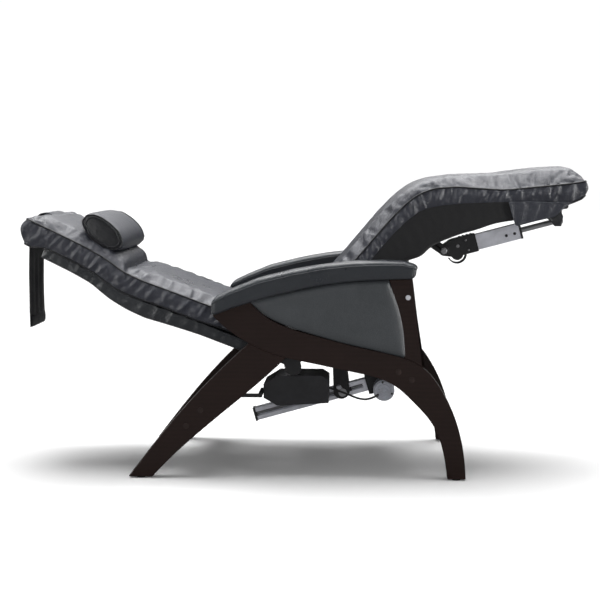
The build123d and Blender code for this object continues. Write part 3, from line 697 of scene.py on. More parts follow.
plug_wood = wood("plug_wood", (0.022, 0.0135, 0.0115), (0.029, 0.018, 0.0155), 0.42)
# The arm board is painted dark, a painted shade: it stands in for the dark gap of shade between the arm pad and
# the side panel.
plain_board = wood("plain_board", (0.020, 0.014, 0.010), (0.030, 0.022, 0.016), 0.65)
black_steel = moulded("black_steel", (0.016, 0.016, 0.017), 0.42, texture=500.0)
black_plastic = moulded("black_plastic", (0.017, 0.017, 0.019), 0.36)
cable_rubber = moulded("cable_rubber", (0.012, 0.012, 0.013), 0.6, texture=900.0)
glide_plastic = moulded("glide_plastic", (0.020, 0.020, 0.020), 0.7)
# These bright base colours at a low metallic are a painted reflection: they stand in for the bright surroundings
# that the metals would reflect.
satin_aluminium = metal("satin_aluminium", (0.90, 0.91, 0.99), 0.34, metallic=0.25)
motor_steel = metal("motor_steel", (0.68, 0.70, 0.78), 0.30, fineness=600.0, metallic=0.45)
bright_chrome = metal("bright_chrome", (0.88, 0.88, 0.94), 0.20, lines=0.00001, metallic=0.35)
plain_steel = metal("plain_steel", (0.50, 0.50, 0.52), 0.32, metallic=0.8)
FINISHES = {"dark_wood": dark_wood, "grey_leather": slate_leather, "black_lining": black_lining,
            "plain_board": plain_board, "black_steel": black_steel, "satin_aluminium": satin_aluminium,
            "motor_steel": motor_steel, "bright_chrome": bright_chrome, "plain_steel": plain_steel,
            "black_plastic": black_plastic, "cable_rubber": cable_rubber, "glide_plastic": glide_plastic}


# Hard parts: softened edges and their finishes

EDGE_RADIUS = {"dark_wood": 0.0035, "black_steel": 0.0012, "satin_aluminium": 0.0014, "black_plastic": 0.0022,
               "motor_steel": 0.0018}
PLAIN_EDGE = 0.0006


OWN_FINISH = {"wood_plugs": plug_wood}


def finish_hard_part(name, part, slot):
    """Give a CAD part its finish and soft edges. The parts' own meshes stay as they are."""
    part.data.materials.clear()
    part.data.materials.append(OWN_FINISH.get(name, FINISHES[slot]))
    weld = part.modifiers.new("weld", "WELD")
    weld.merge_threshold = 0.00002
    bevel = part.modifiers.new("edges", "BEVEL")
    bevel.width = EDGE_RADIUS.get(slot, PLAIN_EDGE)
    bevel.segments = 3
    bevel.limit_method = "ANGLE"
    bevel.angle_limit = math.radians(40)
    bevel.use_clamp_overlap = True
    weighted = part.modifiers.new("normals", "WEIGHTED_NORMAL")
    weighted.weight = 100


for entry in frame["record"]["subparts"]:
    finish_hard_part(entry["node"], frame["nodes"][entry["node"]], entry["material_slot"])


# Seat and leg rest: one long cushion over the knee

KNEE_START = (0.365, 0.0, 0.800)
KNEE_END = (0.500, 0.0, 0.845)
SEAT_CROWN = ((0.0, 0.0), (0.06, 0.024), (0.45, 0.028), (0.60, 0.027), (0.68, 0.026), (0.75, 0.031),
              (0.82, 0.037), (0.90, 0.046), (1.00, 0.049), (1.08, 0.046), (1.14, 0.040))
SEAT_DEPTH = ((0.0, 0.050), (0.48, 0.044), (0.60, 0.050), (0.69, 0.060), (0.80, 0.049), (0.90, 0.042),
              (0.99, 0.050), (1.08, 0.060), (1.12, 0.050), (1.14, 0.040))
COVER_HALF = CUSHION_HALF - 0.004  # half width of a cover at its seams


def profile(knots):
    """Function that runs straight from one (distance, value) to the next."""
    xs, ys = zip(*knots)
    return lambda s: float(np.interp(s, xs, ys))


def pad_body(piece, held):
    leather_sim(piece, held)
    soften(piece)


def add_welts(name, piece, rings, body=None, blend=None):
    """Piping along a cover's upper and lower seam, on one body; with blend it is on no body and has its transform
    baked in, and the bodies and points in blend are not used.
    """
    for label, ring in zip(("upper", "lower"), rings):
        points = seam_points(piece, ring)
        welt = tube(f"{name}_{label}_piping", points, WELT, closed=True)
        settle(welt, body, black_leather)
        if blend:
            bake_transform(welt)


seat_cover, seat_top_ring, seat_low_ring, seat_held = boxed_cover(
    "seat_and_leg_cushion", SEAT, 0.012, SEAT.length, COVER_HALF, profile(SEAT_CROWN), profile(SEAT_DEPTH),
    wall_bulge=0.005, gathers=0.0010, seed=2.0, undercut=(0.0, 0.010), end_bulge=(0.0, 0.003))
add_welts("seat", seat_cover, (seat_top_ring, seat_low_ring),
          blend=("seat_frame", "leg_rest", KNEE_START, KNEE_END))
pad_body(seat_cover, seat_held)
SEAT_CREASES = ((0.20, 0.62, 0.24, 30, 0.045, 0.0014), (0.62, 1.10, 0.24, 40, 0.050, 0.0018),
                (0.78, 0.84, 0.25, 22, 0.035, 0.0030))
wrinkle(seat_cover, SEAT, COVER_HALF, profile(SEAT_DEPTH),
        top=dict(spacing=0.038, reach=0.110, depth=0.0036, width=0.0066),
        wall=dict(spacing=0.031, reach=0.100, depth=0.0084, width=0.0064, lean=-0.45),
        areas=SEAT_CREASES, seed=70)
settle(seat_cover, None, slate_leather, ("seat_cushion", "leg_cushion"))
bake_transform(seat_cover)


# Back: head and lumbar pads in one cover with a deep crease between them

BACK_DEPTH = ((0.0, 0.074), (0.04, 0.074), (0.09, 0.058), (0.20, 0.056), (0.36, 0.058), (0.50, 0.054),
              (0.62, 0.056), (0.72, 0.050), (0.94, 0.046))
ROLL = 0.055              # length of the rounded lower end of the head pad
LUMBAR_RISE = 0.030


def back_crown(s):
    """Crown of the head pad, which rolls over into the crease, and of the lumbar pad, which rises from it."""
    if s < CREASE_AT - ROLL:
        return 0.025
    if s < CREASE_AT:
        return 0.035 * math.sqrt(1 - ((s - CREASE_AT + ROLL) / ROLL) ** 2) - 0.010
    return 0.032 * (1 - math.exp(-(s - CREASE_AT) / LUMBAR_RISE)) - 0.010


back_cover, back_top_ring, back_low_ring, back_held = boxed_cover(
    "back_cushion", BACK, 0.004, BACK.length - 0.016, COVER_HALF, back_crown, profile(BACK_DEPTH),
    wall_bulge=0.005, gathers=0.0010, seed=11.0, undercut=(0.026, 0.0), end_bulge=(0.013, 0.0))
add_welts("back", back_cover, (back_top_ring, back_low_ring), body="seat_frame")
pad_body(back_cover, back_held)
BACK_CREASES = ((0.02, 0.34, 0.22, 18, 0.045, 0.0012), (0.37, 0.90, 0.24, 30, 0.060, 0.0013),
                (0.36, 0.40, 0.25, 14, 0.025, 0.0022))
wrinkle(back_cover, BACK, COVER_HALF, profile(BACK_DEPTH),
        top=dict(spacing=0.034, reach=0.140, depth=0.0040, width=0.0066),
        wall=dict(spacing=0.027, reach=0.110, depth=0.0088, width=0.0062, lean=-0.30),
        areas=BACK_CREASES, seed=40)
settle(back_cover, "seat_frame", slate_leather, ("head_cushion", "lumbar_cushion"))

# Back shell: tight leather over the hollow shell behind the back cushion

SHELL_START = 0.094
SHELL_STOP = 0.842
SHELL_HALF = CUSHION_HALF - 0.006
SHELL_TOP = -0.061        # how far the shell's upper edge lies below the back seam
SHELL_DEPTH = profile(((0.0, 0.031), (0.30, 0.031), (0.34, 0.034), (0.40, 0.042), (0.47, 0.047),
                       (0.56, 0.041), (0.66, 0.036), (0.84, 0.034)))
shell_cover = boxed_cover("back_shell_cover", BACK, SHELL_START, SHELL_STOP, SHELL_HALF, lambda s: 0.0001,
                          SHELL_DEPTH, top=SHELL_TOP, belly=0.004, wall_bulge=0.003, gathers=0.0006, seed=5.0,
                          wall_rows=4)[0]
soften(shell_cover)
wrinkle(shell_cover, BACK, SHELL_HALF, lambda s: SHELL_DEPTH(s) - SHELL_TOP,
        top=dict(spacing=0.5, reach=0.01, depth=0.0),
        wall=dict(spacing=0.024, reach=0.200, depth=0.0034, width=0.0062, lean=-0.3), seed=90)
settle(shell_cover, "seat_frame", shell_leather, ("back_shell",))


# Head pillow, its strap and the hanging counterweight flap

PILLOW_LOW, PILLOW_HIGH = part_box("head_pillow")
PILLOW_MIDDLE = (PILLOW_LOW + PILLOW_HIGH) / 2
PILLOW_HALF = PILLOW_HIGH.y
PILLOW_LEAN = math.radians(-39)
PILLOW_SECTION = (0.083, 0.042)
PILLOW_SINK = 0.012       # how far the pillow presses down towards the head pad
PILLOW_SHIFT = 0.004      # and towards the sitter's back
PILLOW_SIDES = 96


def pillow_point(y, angle, scale=1.0):
    """Point of the pillow's skin, pinched slightly towards its ends."""
    taper = 1 - 0.13 * abs(y / PILLOW_HALF) ** 6
    fold = 0.0028 * math.exp(-(PILLOW_HALF - abs(y)) / 0.04) * crumple(angle * 3.1, y * 6, 4.0, 9.0)
    c, s = math.cos(angle), math.sin(angle)
    a = PILLOW_SECTION[0] * math.copysign(abs(c) ** 0.96, c) * taper * scale
    b = PILLOW_SECTION[1] * math.copysign(abs(s) ** 0.96, s) * taper * scale
    a, b = a * (1 + fold / 0.05), b * (1 + fold / 0.05)
    x = PILLOW_MIDDLE.x + PILLOW_SHIFT + a * math.cos(PILLOW_LEAN) - b * math.sin(PILLOW_LEAN)
    z = PILLOW_MIDDLE.z - PILLOW_SINK + a * math.sin(PILLOW_LEAN) + b * math.cos(PILLOW_LEAN)
    return (x, y, z)


def pillow_ring(y, scale=1.0):
    """Points round the pillow at y, from its middle line out to the given scale."""
    return [pillow_point(y, 2 * math.pi * k / PILLOW_SIDES, scale) for k in range(PILLOW_SIDES)]


PILLOW_REACH = PILLOW_HALF - 0.008  # y of the seams round the end panels
PANEL_SCALES = (1.0, 0.93, 0.80, 0.6, 0.35, 0.08)
PANEL_BULGE = 0.007


def build_pillow():
    """Pillow cover, its two bulging end panels, and two rings of piping on each of them."""
    rows = [pillow_ring(y) for y in np.linspace(-PILLOW_REACH, PILLOW_REACH, 45)]
    verts = [p for row in rows for p in row]
    faces = grid_faces(len(rows), PILLOW_SIDES, wrap=True, flip=True)
    faces.append(tuple(range(PILLOW_SIDES)))
    last = (len(rows) - 1) * PILLOW_SIDES
    faces.append(tuple(range(last, last + PILLOW_SIDES))[::-1])
    body = mesh_piece("head_pillow_cover", verts, faces)
    soften(body)
    settle(body, "pillow", slate_leather, ("head_pillow",))
    for name, side in SIDES.items():
        build_pillow_end(name, side)


def build_pillow_end(name, side):
    """End panel of the pillow and its piping."""
    verts = []
    for scale in PANEL_SCALES:
        y = side * (PILLOW_REACH + PANEL_BULGE * math.sqrt(1 - (scale * 0.98) ** 2))
        verts += [(p[0], y, p[2]) for p in pillow_ring(side * PILLOW_REACH, scale)]
    faces = grid_faces(len(PANEL_SCALES), PILLOW_SIDES, wrap=True, flip=side < 0)
    middle = (len(PANEL_SCALES) - 1) * PILLOW_SIDES
    cap = tuple(range(middle, middle + PILLOW_SIDES))
    faces.append(cap if side > 0 else cap[::-1])
    end = mesh_piece(f"pillow_{name}_end", verts, faces)
    settle(end, "pillow", black_leather)
    for label, scale, lift in (("outer", 1.0, 0.002), ("inner", 0.86, 0.0045)):
        y = side * (PILLOW_REACH + lift)
        ring = [(p[0], y, p[2]) for p in pillow_ring(side * PILLOW_REACH, scale)]
        piping = tube(f"pillow_{name}_{label}_piping", ring, 0.0026, closed=True)
        settle(piping, "pillow", black_leather)


build_pillow()


def band_mesh(name, path, half, thick, wave=None, step=0.009):
    """Sheet that follows a side-view path, with a given thickness, closed all round."""
    line = Line(path, soften=0.006)
    ns = max(int(line.length / step), 8)
    ny = max(int(2 * half / step), 8)
    ys = np.linspace(-half, half, ny + 1)
    verts = []
    for face in (0.5, -0.5):
        for s in np.linspace(0, line.length, ns + 1):
            for y in ys:
                lift = (wave(s, y, line.length) if wave else 0.0) + face * thick
                x, z = line.at(s, lift)
                verts.append((x, y, z))
    layer = (ns + 1) * (ny + 1)
    faces = [f[::-1] for f in grid_faces(ns + 1, ny + 1)]
    faces += [tuple(layer + k for k in f) for f in grid_faces(ns + 1, ny + 1)]
    rim = grid_rim(ns, ny, down_first=True)
    for r, n in zip(rim, rim[1:] + rim[:1]):
        faces.append((r, n, layer + n, layer + r))
    piece = mesh_piece(name, verts, faces)
    soften(piece)
    return piece, line.length


STRAP_THICK = 0.0025
STRAP_LIFT = 0.0290
strap_path = [tuple(BACK.at(s, STRAP_LIFT)) for s in (0.235, 0.15, 0.07, 0.045)]
strap_path += [tuple(BACK.at(0.022, 0.0265)), tuple(BACK.at(0.005, 0.016)), (-0.880, 0.808), (-0.8895, 0.785),
               (-0.8925, 0.755), (-0.8925, 0.7225)]
strap, strap_long = band_mesh("pillow_strap_band", strap_path, STRAP_HALF, STRAP_THICK,
                              wave=lambda s, y, length: 0.0012 * crumple(s * 14, y * 16, 0, 4.0))
settle(strap, "seat_frame", slate_leather, ("pillow_strap",))

FLAP_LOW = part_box("counterweight_flap")[0]


def flap_pleats(s, y, length):
    """Upright pleats that deepen downwards, then the fuller pocket of the weight bar."""
    down = s / length
    pleat = math.cos(y * 2 * math.pi / 0.070 + 1.3 * crumple(s * 3, y * 9, 0, 6.0))
    upright = 0.0035 * pleat * min(1, 2.5 * down)
    loose = 0.0030 * crumple(s * 9, y * 13, 0, 8.0) * down
    return (upright + loose) * (1 - 0.35 * down)


flap_path = [(-0.8925, FLAP_AXIS.z - 0.0005), (-0.8930, 0.66), (-0.8935, 0.58), (-0.8930, 0.52),
             (-0.8928, FLAP_LOW.z + 0.004)]
flap_cover, flap_long = band_mesh("counterweight_flap_cover", flap_path, STRAP_HALF, 0.0024, wave=flap_pleats)
settle(flap_cover, "flap", flap_leather, ("counterweight_flap",))

POCKET_SIDES = 16
POCKET_ROWS = 40
POCKET_X = -0.8930
POCKET_RISE = 0.0225      # height of the pocket's middle above the flap's lower edge


def build_pocket():
    """Weight bar's pocket across the bottom of the flap."""
    outline = []
    for k in range(POCKET_SIDES):
        a = 2 * math.pi * k / POCKET_SIDES
        outline.append((0.0062 * math.cos(a), 0.020 * math.sin(a)))
    verts = []
    for i in range(POCKET_ROWS + 1):
        y = -STRAP_HALF + 2 * STRAP_HALF * i / POCKET_ROWS
        end = math.sqrt(max(0.02, 1 - abs(2 * i / POCKET_ROWS - 1) ** 8))
        for px, pz in outline:
            ripple = 1 + 0.22 * crumple(y * 26, pz * 40, px * 60, 12.0)
            z = FLAP_LOW.z + POCKET_RISE + pz * (0.8 + 0.2 * end) * 1.02
            verts.append((POCKET_X + px * end * ripple, y, z))
    faces = grid_faces(POCKET_ROWS + 1, POCKET_SIDES, wrap=True, flip=True)
    last = POCKET_ROWS * POCKET_SIDES
    faces.append(tuple(range(POCKET_SIDES)))
    faces.append(tuple(range(last, last + POCKET_SIDES))[::-1])
    pocket = mesh_piece("weight_bar_pocket", verts, faces)
    soften(pocket)
    settle(pocket, "flap", flap_leather)


build_pocket()


# Arm pads: rounded leather caps with a seam along each flank and round the nose

ARM_LOW = [(-0.258, 0.518), (-0.202, 0.541), (-0.107, 0.5705), (-0.011, 0.5945), (0.083, 0.6145),
           (0.178, 0.6265), (0.272, 0.6315), (0.366, 0.6345)]
ARM_HIGH = [(-0.262, 0.572), (-0.202, 0.602), (-0.121, 0.635), (-0.011, 0.662), (0.083, 0.679),
            (0.178, 0.689), (0.272, 0.692), (0.333, 0.690), (0.366, 0.680)]
ARM_Y0, ARM_Y1 = (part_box("left_arm_pad")[i].y for i in (0, 1))
ARM_SECTION = 36


def arm_section(t):
    """Centre, half height and half width of an arm pad at t from 0, the back, to 1, the nose."""
    x = -0.264 + 0.638 * t
    low = np.interp(x, *zip(*ARM_LOW))
    high = np.interp(x, *zip(*ARM_HIGH))
    nose = math.sqrt(max(0.0, 1 - max(0.0, (t - 0.975) / 0.025) ** 2))
    tail = math.sqrt(max(0.0, 1 - max(0.0, (0.03 - t) / 0.03) ** 2))
    round_off = max(nose * tail, 0.04)
    width = (ARM_Y1 - ARM_Y0) / 2 * (0.75 + 0.25 * nose) * (0.8 + 0.2 * tail)
    return x, (low + high) / 2, (high - low) / 2 * (0.50 + 0.50 * round_off), width


def arm_skin(side, t, angle):
    """Point on an arm pad at t along it and an angle round it, from its outer face."""
    x, mid, tall, wide = arm_section(t)
    c, s = math.cos(angle), math.sin(angle)
    corner = 0.40 if s > 0 else 0.26
    y = (ARM_Y0 + ARM_Y1) / 2 + wide * math.copysign(abs(c) ** corner, c)
    z = mid + tall * math.copysign(abs(s) ** corner, s)
    lean = 0.005 * max(0.0, (t - 0.90) / 0.10) * s
    return (x + lean, side * y, z + 0.0009 * crumple(t * 14, angle * 1.5, side, 15.0))


def build_arm_pad(name, side):
    """Arm pad and the seam round it."""
    stations = [0.5 - 0.5 * math.cos(math.pi * i / 90) for i in range(91)]
    verts = [arm_skin(side, t, 2 * math.pi * k / ARM_SECTION) for t in stations for k in range(ARM_SECTION)]
    faces = grid_faces(len(stations), ARM_SECTION, wrap=True, flip=side < 0)
    first = tuple(range(ARM_SECTION))
    last = tuple(range(90 * ARM_SECTION, 91 * ARM_SECTION))
    faces += [first[::-1] if side > 0 else first, last if side > 0 else last[::-1]]
    pad = mesh_piece(f"{name}_arm_cover", verts, faces)
    soften(pad)
    settle(pad, "base", arm_leather, (f"{name}_arm_pad",))
    seam_angle = math.radians(12)
    outer = [arm_skin(side, t, seam_angle) for t in stations[4:-2]]
    inner = [arm_skin(side, t, math.pi - seam_angle) for t in stations[4:-2]]
    seam = tube(f"{name}_arm_seam", outer + inner[::-1], 0.0016, closed=False)
    settle(seam, "base", piping_leather)


for arm_name, arm_side in SIDES.items():
    build_arm_pad(arm_name, arm_side)


# Side panels: padded leather boards between the arm, the post and the beam

PANEL_TOP = [(-0.145, 0.5625), (-0.107, 0.5725), (-0.011, 0.5955), (0.083, 0.6155), (0.178, 0.6275),
             (0.291, 0.6325)]
PANEL_LOW = [(-0.145, 0.5605), (-0.080, 0.5065), (-0.011, 0.4775), (0.060, 0.4555), (0.150, 0.4300),
             (0.230, 0.4125), (0.346, 0.3840)]
PANEL_PUFF = 0.012


def build_side_panel(name, side):
    """Side panel, swollen towards its middle and flat at its edges."""
    across, up = 60, 30
    top, low = Line(PANEL_TOP), Line(PANEL_LOW)
    verts = []
    for v in np.linspace(0, 1, up + 1):
        for u in np.linspace(0, 1, across + 1):
            a, b = low.at(u * low.length), top.at(u * top.length)
            p = a + (b - a) * v
            p[0] += 0.015 * math.sin(math.pi * v) * u ** 3
            gap = np.linalg.norm(b - a)
            edge = min(v * gap, (1 - v) * gap, (1 - u) * 0.44, 0.03 + u * 0.2)
            swell = PANEL_PUFF * math.sqrt(1 - (1 - min(edge / 0.030, 1)) ** 2)
            ripple = 0.0008 * crumple(p[0] * 18, 0, p[1] * 18, 21.0) * min(1, edge / 0.02)
            verts.append((p[0], side * (WOOD_FACE - 0.003 + swell + ripple), p[1]))
    count = len(verts)
    verts += [(x, side * (WOOD_FACE - 0.030), z) for x, _, z in verts]
    front = grid_faces(up + 1, across + 1)
    back = [tuple(count + k for k in f[::-1]) for f in front]
    rim = grid_rim(up, across)
    walls = [(r, count + r, count + n, n) for r, n in zip(rim, rim[1:] + rim[:1])]
    faces = front + back + walls
    if side > 0:
        faces = [f[::-1] for f in faces]
    panel = mesh_piece(f"{name}_side_cover", verts, faces)
    soften(panel)
    settle(panel, "base", panel_leather, (f"{name}_side_panel",))


for panel_name, panel_side in SIDES.items():
    build_side_panel(panel_name, panel_side)


# Black lining that hangs under the seat and the leg rest

LINING_HALF = CUSHION_HALF - 0.0003
LINING_PATH = [(0.150, 0.506), (0.230, 0.580), (0.300, 0.652), (0.343, 0.684), (0.396, 0.694), (0.424, 0.724),
               (0.460, 0.744), (0.526, 0.776), (0.617, 0.800), (0.690, 0.811), (0.760, 0.822), (0.830, 0.833)]
LINING_TOP = [(0.120, 0.545), (0.183, 0.630), (0.262, 0.722), (0.306, 0.774), (0.345, 0.812), (0.390, 0.846),
              (0.452, 0.861), (0.526, 0.868), (0.617, 0.871), (0.690, 0.873), (0.760, 0.873), (0.834, 0.872)]
LINING_ROUND = 0.16       # share of the half width over which the bottom turns up into the side
CORNER_RISE = 0.12        # share of the side's height taken up by that turn
LINING_THICK = 0.0016
LINING_SAG = 0.009        # depth of the irregular folds in the bottom
LINING_DRAPE = 0.0012     # depth of the folds in the sides


def build_lining():
    """Trough of black cloth: a sagging bottom with a curtain up each side to the cushions' lower seam."""
    bottom, top = Line(LINING_PATH, 0.012), Line(LINING_TOP, 0.012)
    along, across, up = 84, 44, 9
    verts = []
    for layer in (0.0, LINING_THICK):
        for u in np.linspace(0, 1, along + 1):
            low, high = bottom.at(u * bottom.length), top.at(u * top.length)
            row = []
            for v in np.linspace(1, 0, up + 1)[:-1]:
                row.append((-1, v))
            row += [(w, 0.0) for w in np.linspace(-1, 1, across + 1)]
            row += [(1, v) for v in np.linspace(0, 1, up + 1)[1:]]
            for w, v in row:
                inner = 1 - LINING_ROUND
                turn = max(0.0, (abs(w) - inner) / LINING_ROUND)
                y = math.copysign(min(abs(w), inner) + LINING_ROUND * math.sin(turn * math.pi / 2), w)
                rise = CORNER_RISE * (1 - math.cos(turn * math.pi / 2)) + (1 - CORNER_RISE) * v
                p = low + (high - low) * rise
                fold = LINING_SAG * crumple(u * 5.5, w * 2.2, v * 2.0, 31.0) * (1 - v)
                fold *= math.sin(math.pi * u) ** 0.3
                drape = LINING_DRAPE * math.cos(u * 75 + 5 * crumple(u * 6, v, w, 33.0)) * 4 * v * (1 - v)
                x, z = p[0], p[1] + fold
                verts.append((x, y * (LINING_HALF - layer) - math.copysign(abs(drape), w) * (abs(w) == 1),
                              z + layer * (abs(w) < 1)))
    width = across + 1 + 2 * up
    count = (along + 1) * width
    faces = grid_faces(along + 1, width)
    faces += [tuple(count + k for k in f[::-1]) for f in grid_faces(along + 1, width)]
    rim = grid_rim(along, width - 1)
    faces += [(r, count + r, count + n, n) for r, n in zip(rim, rim[1:] + rim[:1])]
    piece = mesh_piece("underside_lining", verts, faces)
    soften(piece)
    settle(piece, None, black_lining, ("seat_dust_cover", "leg_dust_cover"))
    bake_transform(piece)
    heights = [math.dist(bottom.at(u * bottom.length), top.at(u * top.length)) for u in np.linspace(0, 1, 21)]


build_lining()


# Gussets at the foot end: folded leather fans on both sides

SKIRT_TOP = [(0.663, 0.872), (0.720, 0.874), (0.790, 0.872), (0.866, 0.872)]
SKIRT_LOW = [(0.676, 0.826), (0.687, 0.795), (0.750, 0.812), (0.811, 0.826), (0.828, 0.846)]
SKIRT_THICK = 0.0025
SKIRT_FOLDS = 4.5


def build_skirt(name, side):
    """Gusset beside the leg cushion, fanned in upright folds."""
    top, low = Line(SKIRT_TOP, 0.006), Line(SKIRT_LOW, 0.006)
    verts = []
    across, down = 48, 12
    for face in (0.0, SKIRT_THICK):
        for v in np.linspace(0, 1, down + 1):
            for u in np.linspace(0, 1, across + 1):
                p = top.at(u * top.length) * (1 - v) + low.at(u * low.length) * v
                fan = math.cos(u * SKIRT_FOLDS * 2 * math.pi) * (1 - 0.6 * v) * min(1, 6 * v)
                y = CUSHION_HALF + 0.0010 + 0.0014 * fan + face
                verts.append((p[0], side * y, p[1]))
    layer = (across + 1) * (down + 1)
    outer = [tuple(layer + k for k in f) for f in grid_faces(down + 1, across + 1)]
    inner = [f[::-1] for f in grid_faces(down + 1, across + 1)]
    rim = grid_rim(down, across)
    walls = [(r, n, layer + n, layer + r) for r, n in zip(rim, rim[1:] + rim[:1])]
    faces = outer + inner + walls
    if side > 0:
        faces = [f[::-1] for f in faces]
    skirt = mesh_piece(f"{name}_foot_gusset", verts, faces)
    soften(skirt)
    settle(skirt, "leg_rest", slate_leather, ("leg_skirts",))


for skirt_name, skirt_side in SIDES.items():
    build_skirt(skirt_name, skirt_side)


# Small black tab at the end of each gusset, over the clevis
TAB_OUTLINE = [(0.782, 0.822), (0.828, 0.843), (0.835, 0.826), (0.829, 0.796), (0.808, 0.796), (0.800, 0.808)]


def plate(name, outline, y0, y1, body, material, bevel=0.0012):
    """Flat piece cut to a side-view outline, with softened edges."""
    count = len(outline)
    verts = [(x, y, z) for y in (y0, y1) for x, z in outline]
    faces = [tuple(range(count)), tuple(range(count, 2 * count))[::-1]]
    faces += [(k, count + k, count + (k + 1) % count, (k + 1) % count)[::-1] for k in range(count)]
    piece = mesh_piece(name, verts, faces, smooth=False)
    working = bmesh.new()
    working.from_mesh(piece.data)
    bmesh.ops.recalc_face_normals(working, faces=working.faces)
    working.to_mesh(piece.data)
    working.free()
    modifier = piece.modifiers.new("edges", "BEVEL")
    modifier.width = bevel
    modifier.segments = 3
    modifier.limit_method = "ANGLE"
    return settle(piece, body, material)


for tab_name, tab_side in SIDES.items():
    inner_y, outer_y = tab_side * (CUSHION_HALF - 0.0030), tab_side * (CUSHION_HALF + 0.0010)
    plate(f"{tab_name}_foot_tab", TAB_OUTLINE, inner_y, outer_y, "leg_rest", black_leather)


# Fasteners and mouldings of the two actuators

def bolt(name, x, z, y, side, radius, body, material, height=0.0035, hexagon=True):
    """Bolt head on a face square to Y: a washer, then a hexagon or a domed head."""
    rings = [(0.0, radius * 1.35), (0.0008, radius * 1.35), (0.0010, radius), (height, radius),
             (height + 0.0008, radius * 0.82), (height + 0.0008, radius * 0.45),
             (height - 0.001, radius * 0.42)]
    sides = 6 if hexagon else 28
    verts = []
    for rise, r in rings:
        for k in range(sides):
            a = 2 * math.pi * (k + 0.3) / sides
            verts.append((x + r * math.cos(a), y + side * rise, z + r * math.sin(a)))
    faces = grid_faces(len(rings), sides, wrap=True, flip=side > 0)
    cap = tuple(range((len(rings) - 1) * sides, len(rings) * sides))
    faces.append(cap[::-1] if side > 0 else cap)
    base = tuple(range(sides))
    faces.append(base if side > 0 else base[::-1])
    piece = mesh_piece(name, verts, faces, smooth=False)
    sharpen(piece, 30)
    return settle(piece, body, material)


ROD_END = Vector((0.853, 0.0, 0.804))
BARREL = (ROD_END - BARREL_AXIS).normalized()
BARREL_UP = Vector((-BARREL.z, 0.0, BARREL.x))
HOUSING_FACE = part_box("leg_actuator_housing")[1].y
TUBE_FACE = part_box("leg_actuator_tube")[1].y
HOUSING_SIDE = 0.030


def on_barrel(along, up):
    """Point in the side view at a distance along the leg actuator from its hinge, and above its axis."""
    p = BARREL_AXIS + BARREL * along + BARREL_UP * up
    return p.x, p.z


GEAR_CENTRE = on_barrel(0.040, -0.022)
GUARD_R = 0.030
# Screws in the gear case: name, distance along the barrel, height over its axis, radius
CASE_SCREWS = (("gear", 0.048, 0.004, 0.0042), ("case", 0.078, 0.016, 0.0026),
               ("lower_case", 0.080, -0.018, 0.0026))
TUBE_SCREWS = (("tube_inner", 0.212), ("tube_outer", 0.240))
RIB_START, RIB_PITCH, RIB_WIDE = 0.060, 0.013, 0.005


def dress_actuator(name, side):
    """Screws, wire guard, ribs and nuts on one side of the leg actuator."""
    for label, along, up, radius in CASE_SCREWS:
        x, z = on_barrel(along, up)
        bolt(f"{name}_{label}_screw", x, z, side * HOUSING_SIDE, side, radius, "leg_actuator",
             plain_steel, height=0.0018, hexagon=False)
    for label, along in TUBE_SCREWS:
        x, z = on_barrel(along, -0.004)
        bolt(f"{name}_{label}_screw", x, z, side * TUBE_FACE, side, 0.0036, "leg_actuator",
             black_plastic, height=0.0022, hexagon=False)
    guard = []
    for k in range(33):
        a = math.radians(-165 + 150 * k / 32) + math.atan2(BARREL.z, BARREL.x)
        guard.append((GEAR_CENTRE[0] + GUARD_R * math.cos(a), side * 0.020,
                      GEAR_CENTRE[1] + GUARD_R * math.sin(a)))
    settle(tube(f"{name}_gear_guard_wire", guard, 0.0022), "leg_actuator", black_plastic)
    for k in range(4):
        along = RIB_START + RIB_PITCH * k
        rib = [on_barrel(along, 0.0295), on_barrel(along + RIB_WIDE, 0.0295),
               on_barrel(along + RIB_WIDE, 0.0325), on_barrel(along, 0.0325)]
        plate(f"{name}_case_rib_{k + 1}", rib, side * 0.004, side * 0.028, "leg_actuator",
              black_plastic, bevel=0.0006)
    bolt(f"{name}_barrel_nut", BARREL_AXIS.x, BARREL_AXIS.z, side * HOUSING_FACE, side, 0.0085,
         "leg_actuator", plain_steel, height=0.005)
    bolt(f"{name}_clevis_nut", ROD_END.x, ROD_END.z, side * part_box("leg_actuator_rod")[1].y, side, 0.0070,
         "leg_rod", plain_steel, height=0.004)


for actuator_side_name, actuator_side in SIDES.items():
    dress_actuator(actuator_side_name, actuator_side)


MOTOR_LOW, MOTOR_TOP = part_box("motor_can")
MOTOR_AT = ((MOTOR_LOW.x + MOTOR_TOP.x) / 2, MOTOR_LOW.y, (MOTOR_LOW.z + MOTOR_TOP.z) / 2)
MOTOR_R = (MOTOR_TOP.x - MOTOR_LOW.x) / 2
# Rings of the motor's end: distance out of its face, share of its radius
MOTOR_RINGS = ((0.0, 0.92), (-0.004, 0.92), (-0.006, 0.88), (-0.006, 0.72), (-0.004, 0.70), (-0.004, 0.60),
               (-0.0075, 0.57), (-0.0075, 0.42), (-0.0055, 0.40), (-0.0055, 0.30), (-0.011, 0.27),
               (-0.011, 0.14), (-0.009, 0.12), (-0.009, 0.05))


def build_motor_end():
    """Motor's end: a stepped disc with raised rings and a hub, and three screws."""
    disc = lathe("motor_end_rings", MOTOR_AT, [(a, r * MOTOR_R) for a, r in MOTOR_RINGS])
    settle(disc, "base", motor_steel, ("motor_end_cap",))
    for k in range(3):
        angle = math.radians(100 + 120 * k)
        x, z = MOTOR_AT[0] + 0.8 * MOTOR_R * math.cos(angle), MOTOR_AT[2] + 0.8 * MOTOR_R * math.sin(angle)
        bolt(f"motor_screw_{k + 1}", x, z, MOTOR_AT[1] - 0.006, -1, 0.0026, "base",
             black_plastic, height=0.0016, hexagon=False)


build_motor_end()


# Lead that sags from the control box to the motor

